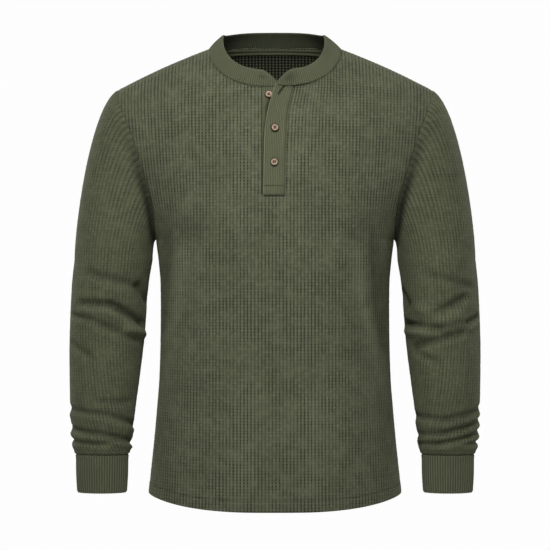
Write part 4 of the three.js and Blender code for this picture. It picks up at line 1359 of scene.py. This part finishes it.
def merge(obj: Object, distance: float = 1e-6) -> None:
    """Join the points of a mesh that fall together, and turn its faces outwards."""
    mesh = bmesh.new()
    mesh.from_mesh(obj.data)
    bmesh.ops.remove_doubles(mesh, verts=mesh.verts, dist=distance)
    bmesh.ops.recalc_face_normals(mesh, faces=mesh.faces)
    mesh.to_mesh(obj.data)
    mesh.free()


def freeze(obj: Object) -> None:
    """Turn an object's modifiers into its plain mesh."""
    evaluated = obj.evaluated_get(bpy.context.evaluated_depsgraph_get())
    result = bpy.data.meshes.new_from_object(evaluated)
    obj.modifiers.clear()
    obj.data = result
    result.name = obj.name


def linear(colour: str) -> tuple[float, float, float, float]:
    """Return a shader colour from an sRGB hex value."""
    parts = [int(colour[i : i + 2], 16) / 255 for i in (1, 3, 5)]
    parts = [c / 12.92 if c <= 0.04045 else ((c + 0.055) / 1.055) ** 2.4 for c in parts]
    return (*parts, 1.0)


class Kind(Enum):
    """The kinds of node: type, numbers of the inputs that plain arguments go to, output read, settings."""

    PLUS = "ShaderNodeMath", (0, 1), 0, {"operation": "ADD"}
    LESS = "ShaderNodeMath", (0, 1), 0, {"operation": "SUBTRACT"}
    TIMES = "ShaderNodeMath", (0, 1), 0, {"operation": "MULTIPLY"}
    COSINE = "ShaderNodeMath", (0,), 0, {"operation": "COSINE"}
    FRACT = "ShaderNodeMath", (0,), 0, {"operation": "FRACT"}
    ABSOLUTE = "ShaderNodeMath", (0,), 0, {"operation": "ABSOLUTE"}
    STEP = "ShaderNodeMapRange", (0, 1, 2, 3, 4), 0, {"interpolation_type": "SMOOTHSTEP"}
    BLEND = "ShaderNodeMix", (0, 6, 7), 2, {"data_type": "RGBA"}
    VECTOR_PLUS = "ShaderNodeVectorMath", (0, 1), 0, {"operation": "ADD"}
    VECTOR_FLOOR = "ShaderNodeVectorMath", (0,), 0, {"operation": "FLOOR"}
    NOISE = ("ShaderNodeTexNoise",)
    CHANCE = "ShaderNodeTexWhiteNoise", (0,), 0, {"noise_dimensions": "2D"}
    CHECKER = "ShaderNodeTexChecker", (), 1
    MAPPING = ("ShaderNodeMapping",)
    PLACE = "ShaderNodeTexCoord", (), "Object"
    KNIT_MAP = "ShaderNodeUVMap", (), 0, {"uv_map": "knit"}
    SHADE = "ShaderNodeAttribute", (), "Fac", {"attribute_name": "shade"}
    ACROSS = "ShaderNodeSeparateXYZ", (0,), 0
    ALONG = "ShaderNodeSeparateXYZ", (0,), 1
    BUMP = ("ShaderNodeBump",)
    SHADER = ("ShaderNodeBsdfPrincipled",)
    MATERIAL_OUTPUT = ("ShaderNodeOutputMaterial",)
    BACKGROUND = ("ShaderNodeBackground",)
    CAMERA_RAY = "ShaderNodeLightPath", (), "Is Camera Ray"
    MIX_SHADER = "ShaderNodeMixShader", (0, 1, 2)
    WORLD_OUTPUT = ("ShaderNodeOutputWorld",)
    GROUP_INPUT = ("NodeGroupInput",)
    GROUP_OUTPUT = ("NodeGroupOutput",)
    MESH_TO_CURVE = ("GeometryNodeMeshToCurve",)
    RESAMPLE = "GeometryNodeResampleCurve", (), 0, {"mode": "LENGTH"}
    TANGENT = ("GeometryNodeInputTangent",)
    ALIGN = "FunctionNodeAlignEulerToVector", (), 0, {"axis": "X"}
    RANDOM = "FunctionNodeRandomValue", (2, 3), 1, {"data_type": "FLOAT"}
    COMBINE = ("ShaderNodeCombineXYZ",)
    BALL = ("GeometryNodeMeshUVSphere",)
    INSTANCE = ("GeometryNodeInstanceOnPoints",)
    REALIZE = ("GeometryNodeRealizeInstances",)
    SHADE_SMOOTH = ("GeometryNodeSetShadeSmooth",)
    SET_MATERIAL = ("GeometryNodeSetMaterial",)

    def __init__(
        self, node_type: str, inputs: tuple[int, ...] = (), output: int | str = 0, settings: dict | None = None
    ) -> None:
        """Keep the parts of the member's value.

        Args:
            node_type: The node's type.
            inputs: The numbers of the inputs that plain arguments go to.
            output: The number or name of the output that is read.
            settings: Values of the node's own properties.
        """
        self.node_type, self.inputs, self.output, self.settings = node_type, inputs, output, settings or {}


def add(tree: bpy.types.NodeTree, kind: Kind, *values: object, **named: object) -> Socket | None:
    """Add a node with its settings and its inputs.

    Args:
        tree: The node tree.
        kind: The kind of node.
        *values: Its first inputs. A socket is linked and any other value is set.
        **named: Inputs by name, with underscores for spaces.

    Returns:
        The output that the kind reads, or nothing where the node has none.
    """
    node = tree.nodes.new(kind.node_type)
    for key, value in kind.settings.items():
        setattr(node, key, value)
    given = dict(zip(kind.inputs, values)) | {key.replace("_", " "): value for key, value in named.items()}
    for key, value in given.items():
        if isinstance(value, bpy.types.NodeSocket):
            tree.links.new(value, node.inputs[key])
        else:
            node.inputs[key].default_value = value
    return node.outputs[kind.output] if node.outputs else None


def from_line(node: NodeMaker, value: Socket) -> Socket:
    """Return the distance to the nearest whole number, from 0 to a half."""
    part = node(Kind.FRACT, node(Kind.PLUS, value, 0.5))
    return node(Kind.ABSOLUTE, node(Kind.LESS, part, 0.5))


@dataclass(frozen=True)
class Finish:
    """A finish, made as one material of plain nodes."""

    name: str

    def surface(self, node: NodeMaker) -> dict[str, object]:
        """Return the shader's inputs by name, which each finish has for itself."""
        raise NotImplementedError

    def make(self) -> bpy.types.Material:
        """Make the material.

        Returns:
            The material.
        """
        material = bpy.data.materials.new(self.name)
        material.use_nodes = True
        material.node_tree.nodes.clear()
        node = partial(add, material.node_tree)
        node(Kind.MATERIAL_OUTPUT, Surface=node(Kind.SHADER, **self.surface(node)))
        return material


@dataclass(frozen=True)
class KnitFinish(Finish):
    """What the dyed cotton knits share: their yarn, their wear, and painted light and shade on their folds, seams and
    edges.
    """

    rib: str = "#5d604b"
    hollow: str = "#26291d"
    fleck_and_highlight: str = "#6e715b"
    worn: str = "#4e513d"
    shadow: str = "#0e100a"
    sheen: ClassVar[str] = "#767a62"

    def yarn(self, node: NodeMaker) -> Socket:
        """Return the yarn's unevenness."""
        # Yarn is about 0.5 mm thick, drawn at 1.1 mm so that it shows
        return node(Kind.NOISE, Vector=node(Kind.PLACE), Scale=900.0, Detail=2.0, Roughness=0.6)

    def cotton(self, node: NodeMaker, flecked: Socket, cloudy: Socket) -> Socket:
        """Return the cotton's colour, flecked and cloudily worn."""
        tone = node(Kind.BLEND, flecked, linear(self.rib), linear(self.fleck_and_highlight))
        return node(Kind.BLEND, node(Kind.STEP, cloudy, 0.3, 0.7, 0.0, 0.3), tone, linear(self.worn))

    def lit(self, node: NodeMaker, colour: Socket) -> Socket:
        """Return a colour with a painted highlight, toward the fleck colour, where the shade attribute is below zero.
        """
        return node(Kind.BLEND, node(Kind.TIMES, node(Kind.SHADE), -1.0), colour, linear(self.fleck_and_highlight))

    def shaded(self, node: NodeMaker, colour: Socket) -> Socket:
        """Return a colour with painted shade where the shade attribute is above zero."""
        return node(Kind.BLEND, node(Kind.SHADE), colour, linear(self.shadow))


@dataclass(frozen=True)
class WaffleKnitFinish(KnitFinish):
    """Waffle-knit cotton, piece-dyed olive: matt and softly fuzzy, with painted shade in the pockets between the
    ribs.
    """

    name: str = "waffle_knit_cotton"
    contrast: float = 1.0

    def surface(self, node: NodeMaker) -> dict[str, object]:
        """Make the knit's pattern and colours.

        Args:
            node: Adds a node to the material.

        Returns:
            The shader's inputs.
        """
        uv = node(Kind.KNIT_MAP)
        groove = node(Kind.STEP, from_line(node, node(Kind.ACROSS, uv)), 0.18, 0.43)
        hollow = node(Kind.STEP, from_line(node, node(Kind.ALONG, uv)), 0.14, 0.40)
        pocket = node(Kind.TIMES, groove, hollow)
        full = node(Kind.PLUS, node(Kind.TIMES, groove, 0.42), node(Kind.TIMES, pocket, 0.58))
        place = node(Kind.PLACE)
        # The knit lies open in some places and closed in others, about 20 mm across
        patchy = node(Kind.NOISE, Vector=place, Scale=48.0, Detail=1.0)
        cell = node(Kind.VECTOR_FLOOR, node(Kind.VECTOR_PLUS, uv, (0.5, 0.5, 0.5)))
        chance = node(Kind.CHANCE, cell)
        open_share = node(Kind.STEP, patchy, 0.32, 0.68, 0.42, 1.05)
        openness = node(Kind.PLUS, open_share, node(Kind.TIMES, chance, 0.2))
        depth = node(Kind.TIMES, full, node(Kind.TIMES, openness, self.contrast))
        yarn = self.yarn(node)
        cloudy = node(Kind.NOISE, Vector=place, Scale=22.0, Detail=3.0, Roughness=0.55)
        worn = self.cotton(node, node(Kind.STEP, yarn, 0.35, 0.7), cloudy)
        tinted = node(Kind.BLEND, node(Kind.TIMES, chance, 0.22), worn, linear(self.hollow))
        # The hollow colour is painted shade in the pockets
        pocketed = node(Kind.BLEND, depth, self.lit(node, tinted), linear(self.hollow))
        height = node(Kind.PLUS, node(Kind.TIMES, depth, -1.0), node(Kind.TIMES, yarn, 0.35))
        return {
            "Base_Color": self.shaded(node, pocketed),
            "Roughness": 0.93,
            "Normal": node(Kind.BUMP, Strength=0.55, Distance=0.0005, Height=height),
            "Specular_IOR_Level": 0.25,
            "Sheen_Weight": 0.4,
            "Sheen_Roughness": 0.5,
            "Sheen_Tint": linear(self.sheen),
        }


@dataclass(frozen=True)
class WaffleInsideFinish(Finish):
    """The wrong side of the waffle knit: small raised squares, with painted shade on the ground between them."""

    name: str = "waffle_knit_inside"
    square: str = "#62664e"
    ground: str = "#1c1e15"

    def surface(self, node: NodeMaker) -> dict[str, object]:
        """Make the squares.

        Args:
            node: Adds a node to the material.

        Returns:
            The shader's inputs.
        """
        uv = node(Kind.KNIT_MAP)
        across = node(Kind.STEP, from_line(node, node(Kind.ACROSS, uv)), 0.18, 0.36)
        along = node(Kind.STEP, from_line(node, node(Kind.ALONG, uv)), 0.1, 0.34)
        raised = node(Kind.TIMES, across, along)
        return {
            # The dark ground colour is painted shade
            "Base_Color": node(Kind.BLEND, raised, linear(self.ground), linear(self.square)),
            "Roughness": 0.93,
            "Normal": node(Kind.BUMP, Strength=0.8, Distance=0.001, Height=raised),
            "Specular_IOR_Level": 0.25,
        }


@dataclass(frozen=True)
class RibKnitFinish(KnitFinish):
    """Fine rib-knit cotton in the same dye: matt, with close narrow ribs."""

    name: str = "rib_knit_cotton"
    rib: str = "#5c604a"
    hollow: str = "#3e412f"
    fleck_and_highlight: str = "#6c705a"
    worn: str = "#4f523e"
    shadow: str = "#14160e"
    strength: float = 0.5
    depth: float = 0.7

    def surface(self, node: NodeMaker) -> dict[str, object]:
        """Make the ribs and their colours.

        Args:
            node: Adds a node to the material.

        Returns:
            The shader's inputs.
        """
        wave = node(Kind.COSINE, node(Kind.TIMES, node(Kind.ACROSS, node(Kind.KNIT_MAP)), TURN))
        low = node(Kind.STEP, wave, 0.5, -0.9)
        yarn = self.yarn(node)
        cloudy = node(Kind.NOISE, Vector=node(Kind.PLACE), Scale=30.0, Detail=2.0)
        worn = self.cotton(node, node(Kind.STEP, yarn, 0.3, 0.75, 0.0, 0.6), cloudy)
        # The hollow colour is painted shade in the grooves between the ribs
        ribbed = node(Kind.BLEND, node(Kind.TIMES, low, self.depth), worn, linear(self.hollow))
        height = node(Kind.PLUS, node(Kind.TIMES, low, -1.0), node(Kind.TIMES, yarn, 0.6))
        return {
            "Base_Color": self.shaded(node, self.lit(node, ribbed)),
            "Roughness": 0.92,
            "Normal": node(Kind.BUMP, Strength=self.strength, Distance=0.0004, Height=height),
            "Specular_IOR_Level": 0.25,
            "Sheen_Weight": 0.2,
            "Sheen_Roughness": 0.5,
            "Sheen_Tint": linear(self.sheen),
        }


@dataclass(frozen=True)
class TapeFinish(Finish):
    """Plain-woven cotton tape, dark olive: flat and matt."""

    name: str = "woven_cotton_tape"

    def surface(self, node: NodeMaker) -> dict[str, object]:
        """Make the weave.

        Args:
            node: Adds a node to the material.

        Returns:
            The shader's inputs.
        """
        # Threads lie 0.9 mm apart, a little coarser than real so that they show
        threads = node(Kind.MAPPING, Vector=node(Kind.KNIT_MAP), Scale=(1.1, 1.1, 1.0))
        weave = node(Kind.CHECKER, Vector=threads, Scale=1.0)
        return {
            "Base_Color": node(Kind.BLEND, weave, linear("#63674f"), linear("#4c503a")),
            "Roughness": 0.9,
            "Normal": node(Kind.BUMP, Strength=0.4, Distance=0.0002, Height=weave),
            "Specular_IOR_Level": 0.25,
        }


@dataclass(frozen=True)
class ThreadFinish(Finish):
    """Spun polyester sewing thread: twisted, with a faint sheen."""

    name: str = "sewing_thread"
    colour: str = "#4d503c"

    def surface(self, node: NodeMaker) -> dict[str, object]:
        """Make the thread's fibres.

        Args:
            node: Adds a node to the material.

        Returns:
            The shader's inputs.
        """
        fibre = node(Kind.NOISE, Vector=node(Kind.PLACE), Scale=2500.0, Detail=1.0)
        dark = node(Kind.STEP, fibre, 0.3, 0.7, 0.0, 0.35)
        return {
            "Base_Color": node(Kind.BLEND, dark, linear(self.colour), linear("#2f3226")),
            "Roughness": 0.6,
            "Normal": node(Kind.BUMP, Strength=0.3, Distance=0.0001, Height=fibre),
            "Specular_IOR_Level": 0.4,
        }


@dataclass(frozen=True)
class HornButtonFinish(Finish):
    """Moulded button in a horn imitation: tan and satin, with cloudy streaks and a dark rim that is partly its own
    colour and partly painted shade.
    """

    name: str = "moulded_horn_button"

    def surface(self, node: NodeMaker) -> dict[str, object]:
        """Make the streaks, the dish and the rim.

        Args:
            node: Adds a node to the material.

        Returns:
            The shader's inputs.
        """
        radius = node(Kind.ACROSS, node(Kind.KNIT_MAP))
        streak = node(Kind.NOISE, Vector=node(Kind.PLACE), Scale=260.0, Detail=4.0, Distortion=1.2)
        face = node(Kind.BLEND, node(Kind.STEP, streak, 0.3, 0.7), linear("#b89c82"), linear("#8c725a"))
        # The dish is darker about the holes: painted shade in the hollow round them
        dish = node(Kind.BLEND, node(Kind.STEP, radius, 0.46, 0.26, 0.0, 0.6), face, linear("#3b2c20"))
        return {
            # The dark rim is partly the button's own colour and partly painted shade round its edge
            "Base_Color": node(Kind.BLEND, node(Kind.STEP, radius, 0.72, 0.80), dish, linear("#1c120c")),
            "Roughness": 0.48,
            "Specular_IOR_Level": 0.4,
            "Coat_Weight": 0.05,
            "Coat_Roughness": 0.3,
        }


@dataclass(frozen=True)
class PaperFinish(Finish):
    """Matt white paper, for the studio's floor."""

    name: str = "matt_white_paper"

    def surface(self, node: NodeMaker) -> dict[str, object]:
        """Return the plain paper's shader inputs."""
        return {"Base_Color": linear("#f4f3f1"), "Roughness": 0.95}


@dataclass
class StitchMaker:
    """Rows of stitches along paths, made by one Geometry Nodes tree."""

    material: bpy.types.Material
    seed: int = 7

    def __post_init__(self) -> None:
        """Make the tree: points along the path, one stitch on each, turned along it."""
        self.tree = bpy.data.node_groups.new("stitch_row", "GeometryNodeTree")
        self._sockets()
        node = partial(add, self.tree)
        given = node(Kind.GROUP_INPUT).node.outputs
        curve = node(Kind.MESH_TO_CURVE, Mesh=given["Path"])
        even = node(Kind.RESAMPLE, Curve=curve, Length=given["Pitch"])
        turn = node(Kind.ALIGN, Vector=node(Kind.TANGENT))
        uneven = node(Kind.RANDOM, 0.88, 1.08, Seed=given["Seed"])
        long = node(Kind.TIMES, node(Kind.TIMES, given["Length"], 0.5), uneven)
        thin = node(Kind.TIMES, given["Thickness"], 0.5)
        size = node(Kind.COMBINE, X=long, Y=thin, Z=thin)
        ball = node(Kind.BALL, Segments=8, Rings=6, Radius=1.0)
        rows = node(Kind.INSTANCE, Points=even, Instance=ball, Rotation=turn, Scale=size)
        soft = node(Kind.SHADE_SMOOTH, Geometry=node(Kind.REALIZE, Geometry=rows))
        node(Kind.GROUP_OUTPUT, Stitches=node(Kind.SET_MATERIAL, Geometry=soft, Material=given["Thread"]))

    def _sockets(self) -> None:
        """Give the tree its named inputs and its output."""
        sockets = self.tree.interface
        sockets.new_socket("Path", in_out="INPUT", socket_type="NodeSocketGeometry")
        for name, value in (("Pitch", 0.0032), ("Length", 0.0026), ("Thickness", 0.0006)):
            sockets.new_socket(name, in_out="INPUT", socket_type="NodeSocketFloat").default_value = value
        sockets.new_socket("Seed", in_out="INPUT", socket_type="NodeSocketInt").default_value = self.seed
        sockets.new_socket("Thread", in_out="INPUT", socket_type="NodeSocketMaterial")
        sockets.new_socket("Stitches", in_out="OUTPUT", socket_type="NodeSocketGeometry")

    def sew(self, name: str, paths: Sequence[Array], pitch: float, length: float, thickness: float) -> Object:
        """Make rows of stitches as one mesh.

        Args:
            name: The object's name.
            paths: Each row's points, in millimetres.
            pitch: The distance from one stitch to the next, in millimetres.
            length: A stitch's length.
            thickness: The thread's thickness.

        Returns:
            The stitches' mesh object.
        """
        vertices, edges = [], []
        for path in paths:
            base = len(vertices)
            vertices += (np.asarray(path) * MM).tolist()
            edges += [(base + i, base + i + 1) for i in range(len(path) - 1)]
        mesh = bpy.data.meshes.new(name)
        mesh.from_pydata(vertices, edges, [])
        obj = place_object(name, mesh)
        modifier = obj.modifiers.new("stitches", "NODES")
        modifier.node_group = self.tree
        sizes = {"Pitch": pitch * MM, "Length": length * MM, "Thickness": thickness * MM}
        values = sizes | {"Seed": self.seed, "Thread": self.material}
        for item in self.tree.interface.items_tree:
            if item.in_out == "INPUT" and item.name in values:
                modifier[item.identifier] = values[item.name]
        freeze(obj)
        return obj


@dataclass
class SeamRows:
    """The paths of the visible rows of stitches."""

    neckband: Neckband
    hem_half: float = 196.4
    tape_half: float = 79

    def around_neck(self, drop: float, proud: float) -> Array:
        """Return a row on the body just below the neckband's seam."""
        f = self.neckband.frame()
        return (f["points"] - f["away"] * drop + f["normal"] * proud)[26:-16]

    def hem(self, side: Side, rise: float, proud: float) -> Array:
        """Find a row above the hem's edge.

        Args:
            side: The panel.
            rise: The row's height above the edge.
            proud: How far it stands off the cloth.

        Returns:
            The row's points.
        """
        turn = np.linspace(-1, 1, 200)
        across = np.sin(turn * QUARTER)
        x = across * self.hem_half
        level = BODY.hem(x) + rise
        depth = BODY.depth(side, x, level, np.abs(across)) + proud
        return np.stack([across * (BODY.sections.at("edge", level) + proud), side.value * depth, level], axis=-1)

    def flap_row(self, share: float, low: float, high: float, proud: float) -> Array:
        """Return a row along the flap."""
        level = np.linspace(low, high, 80)
        return Placket.row_on_top(np.full(80, share), level, proud)

    def flap_line(self, level: float, proud: float) -> Array:
        """Return a row across the flap."""
        return Placket.row_on_top(np.linspace(0.05, 0.95, 30), np.full(30, level), proud)

    def cuff(self, hand: Hand, level: float, out: float) -> Array:
        """Return a row round a sleeve's end."""
        angle = np.linspace(0, TURN, 140)
        place = (hand.value * 266.8 + (40.1 + out) * np.cos(angle), -30 + (25 + out) * np.sin(angle), level)
        return np.stack(np.broadcast_arrays(*place), axis=-1)

    def tape(self, drop: float, proud: float) -> Array:
        """Return a row on the neck tape."""
        x = np.linspace(-self.tape_half, self.tape_half, 90)
        level = BODY.neck(Side.BACK, x) - drop * NeckTape.slant
        off = KNIT.wall + NeckTape.clear + NeckTape.wall + proud
        return BODY.point(Side.BACK, x, level) - BODY.normal(Side.BACK, x, level, step=1.0) * off

    def buttonhole(self) -> list[Array]:
        """Return the rows round the open buttonhole of the flap's turned top."""
        (share0, level0), (share1, level1) = Placket.hole_ends
        level = np.linspace(level0, level1, 24)
        return [Placket.row_on_top(np.linspace(share0 + off, share1 + off, 24), level, 0.3) for off in (-0.06, 0.06)]


@dataclass(frozen=True)
class Lamp:
    """A large soft light that faces the shirt: its place and target in metres, its beam in degrees."""

    name: str
    place: tuple[float, float, float]
    size: float
    watts: float
    target: tuple[float, float, float] = (0, 0, -0.35)
    spread: float = 180

    def build(self) -> None:
        """Add the light."""
        data = bpy.data.lights.new(self.name, "AREA")
        data.shape = "DISK"
        data.size, data.energy, data.spread = self.size, self.watts, math.radians(self.spread)
        light = place_object(self.name, data)
        light.location = self.place
        way = np.array(self.target) - np.array(self.place)
        flat = math.hypot(way[0], way[1])
        light.rotation_euler = (math.atan2(flat, -way[2]), 0, math.atan2(way[0], -way[1]) + math.pi)


@dataclass
class Studio:
    """The camera, lights and pale floor."""

    distance: float = 2.9
    camera_level: float = -0.3526
    pixel_mm: float = 1.56
    pixels: int = 550
    sensor: float = 36
    floor_level: float = -1.45
    floor_radius: float = 2600
    lamps: ClassVar[tuple[Lamp, ...]] = (
        Lamp("key_light", (-0.1, -1.5, 0.85), 0.8, 2.95, (0, 0, -0.32), 52),
        Lamp("low_light", (0.1, -2.2, -0.9), 1.0, 0.4, (0, 0, -0.66), 35),
        Lamp("side_light", (-1.8, -1.5, 0.5), 1.2, 2.0),
        Lamp("top_light", (0.0, 0.1, 1.7), 1.2, 3.0),
        Lamp("left_rim_light", (1.7, 1.0, 0.3), 1.2, 12.0),
        Lamp("right_rim_light", (-1.7, 1.0, 0.3), 1.2, 12.0),
    )

    def camera(self) -> None:
        """Make the camera, looking straight at the front from the photograph's distance."""
        data = bpy.data.cameras.new("camera")
        data.sensor_width = self.sensor
        data.lens = self.sensor * self.distance / (self.pixels * self.pixel_mm * MM)
        data.clip_end = 60
        camera = place_object("camera", data)
        camera.location = (0, -self.distance, self.camera_level)
        camera.rotation_euler = (QUARTER, 0, 0)
        bpy.context.scene.camera = camera

    def floor(self) -> None:
        """Make the round pale floor, well below the shirt."""
        steps = 96
        angle = np.linspace(0, TURN, steps, endpoint=False)
        level = np.full(steps, self.floor_level / MM)
        rim = np.stack([self.floor_radius * np.cos(angle), self.floor_radius * np.sin(angle), level], axis=-1)
        floor = new_object("floor", rim, [list(range(steps))], shade_smooth=False)
        floor.data.materials.append(PaperFinish().make())

    def world(self) -> None:
        """Make the white surroundings, dimmer as a light than as a background."""
        world = bpy.data.worlds.new("studio")
        world.use_nodes = True
        world.node_tree.nodes.clear()
        node = partial(add, world.node_tree)
        seen = node(Kind.BACKGROUND, Color=(0.985, 0.985, 0.985, 1.0), Strength=1.0)
        cast = node(Kind.BACKGROUND, Color=(1.0, 1.0, 1.0, 1.0), Strength=0.18)
        node(Kind.WORLD_OUTPUT, Surface=node(Kind.MIX_SHADER, node(Kind.CAMERA_RAY), cast, seen))
        bpy.context.scene.world = world

    def build(self) -> None:
        """Make the whole studio."""
        bpy.context.scene.view_settings.view_transform = "Standard"
        bpy.context.scene.view_settings.look = "None"
        self.camera()
        for lamp in self.lamps:
            lamp.build()
        self.floor()
        self.world()


FINISHES = {
    "knit": WaffleKnitFinish(),
    # The sleeves' knit is a darker copy with less pocket contrast; its darker colours are painted shade
    "sleeve_knit": WaffleKnitFinish("waffle_knit_sleeve_shaded", "#575b44", "#26291d", "#696d55", contrast=0.72),
    "inside": WaffleInsideFinish(),
    "rib": RibKnitFinish("rib_knit_neckband", "#585c46", "#3b3e2d", "#686c55", "#4b4e3a"),
    "cuff": RibKnitFinish("rib_knit_cuff", "#5e624c", depth=0.85),
    "placket": RibKnitFinish("rib_knit_placket", "#60634c", "#40442f", "#71745d", "#54573f"),
    "button_thread": ThreadFinish("button_thread", "#15150f"),
    "tape": TapeFinish(),
    "thread": ThreadFinish(),
    "button": HornButtonFinish(),
}


@dataclass
class Shirt:
    """The dressed shirt, piece by piece."""

    finishes: dict[str, bpy.types.Material] = field(default_factory=dict)

    def dress(self, obj: Object, finish: str, slot: str, *nodes: str) -> Object:
        """Give a piece its finish, parent it to the root empty and hide the solids that it replaces.

        Args:
            obj: The piece.
            finish: The name of its finish.
            slot: Not used.
            *nodes: The solids that it replaces.

        Returns:
            The piece.
        """
        mesh = obj.data
        if mesh.materials:
            mesh.materials.clear()
        mesh.materials.append(self.finishes[finish])
        if finish in ("knit", "sleeve_knit"):
            mesh.materials.append(self.finishes["inside"])
        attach(obj, "root")
        if nodes:
            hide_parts(*nodes)
        mesh.calc_loop_triangles()
        LOG.info("%s: %d triangles", obj.name, len(mesh.loop_triangles))
        return obj

    def build(self) -> None:
        """Build every piece in order."""
        self.finishes = {key: finish.make() for key, finish in FINISHES.items()}
        self.panels()
        self.sleeves()
        self.placket_and_neck()
        self.buttons()
        self.stitches()

    def panels(self) -> None:
        """Build the front and back panels."""
        for side, name, area in ((Side.FRONT, "front", 0.342), (Side.BACK, "back", 0.352)):
            cloth = self.dress(BodyPanel(side).build(f"{name}_cloth"), "knit", "knit", name)

    def sleeves(self) -> None:
        """Build the sleeves and their cuffs."""
        for hand in Hand:
            name = hand.name.lower()
            sleeve = self.dress(Sleeve(hand).build(f"sleeve_{name}_cloth"), "sleeve_knit", "knit", f"sleeve_{name}")
            cuff = self.dress(Cuff(hand).build(f"cuff_{name}_cloth"), "cuff", "rib", f"cuff_{name}")

    def placket_and_neck(self) -> None:
        """Build the placket's two strips, the neckband and the tape."""
        placket = Placket()
        flap = self.dress(placket.flap(), "placket", "rib", "placket_upper")
        strip = self.dress(placket.strip(), "placket", "rib", "placket_under")
        band = self.dress(Neckband().build("neckband_cloth"), "rib", "rib", "collar_band")
        tape = self.dress(NeckTape().build("neck_tape_cloth"), "tape", "tape", "neck_tape")

    def buttons(self) -> None:
        """Build the buttons and their thread."""
        rows = (("top", -9.3, -80, False, 0.3), ("middle", 0, -132, True, 0.05), ("bottom", -1, -184, True, 1.5))
        for name, x, level, on_flap, spin in rows:
            button = Button(f"button_{name}_disc", x, level, on_flap, spin)
            self.dress(button.disc(), "button", "button", f"button_{name}")
            self.dress(button.thread(f"button_{name}_thread"), "button_thread", "rib")

    def stitches(self) -> None:
        """Sew the visible rows of stitches."""
        maker = StitchMaker(self.finishes["thread"])
        rows = SeamRows(Neckband())
        flap = [rows.flap_line(level, -0.1) for level in Placket.box_lines]
        flap += [rows.flap_row(share, -233, -78, 0.1) for share in (0.93, 0.07)]
        sets = {
            "hem_stitches": ([rows.hem(side, rise, 0.5) for side in Side for rise in (15.5, 11.5)], 3.2, 2.7, 0.6),
            "neck_stitches": ([rows.around_neck(3.6, 0.5)], 3.0, 2.5, 0.6),
            "flap_stitches": (flap, 2.6, 2.2, 0.5),
            "cuff_stitches": ([rows.cuff(hand, -625.6, 1.6) for hand in Hand], 3.0, 2.5, 0.6),
            "tape_stitches": ([rows.tape(drop, 0.0) for drop in (2.6, 9.4)], 3.0, 2.5, 0.5),
            "buttonhole_stitches": (rows.buttonhole(), 0.7, 1.1, 0.7),
        }
        for name, (paths, pitch, length, thickness) in sets.items():
            self.dress(maker.sew(name, paths, pitch, length, thickness), "thread", "rib")


def main() -> None:
    """Build the studio and the shirt."""
    logging.basicConfig(level=logging.INFO, format="%(name)s: %(message)s")
    Studio().build()
    Shirt().build()


if __name__ == "__main__":
    main()
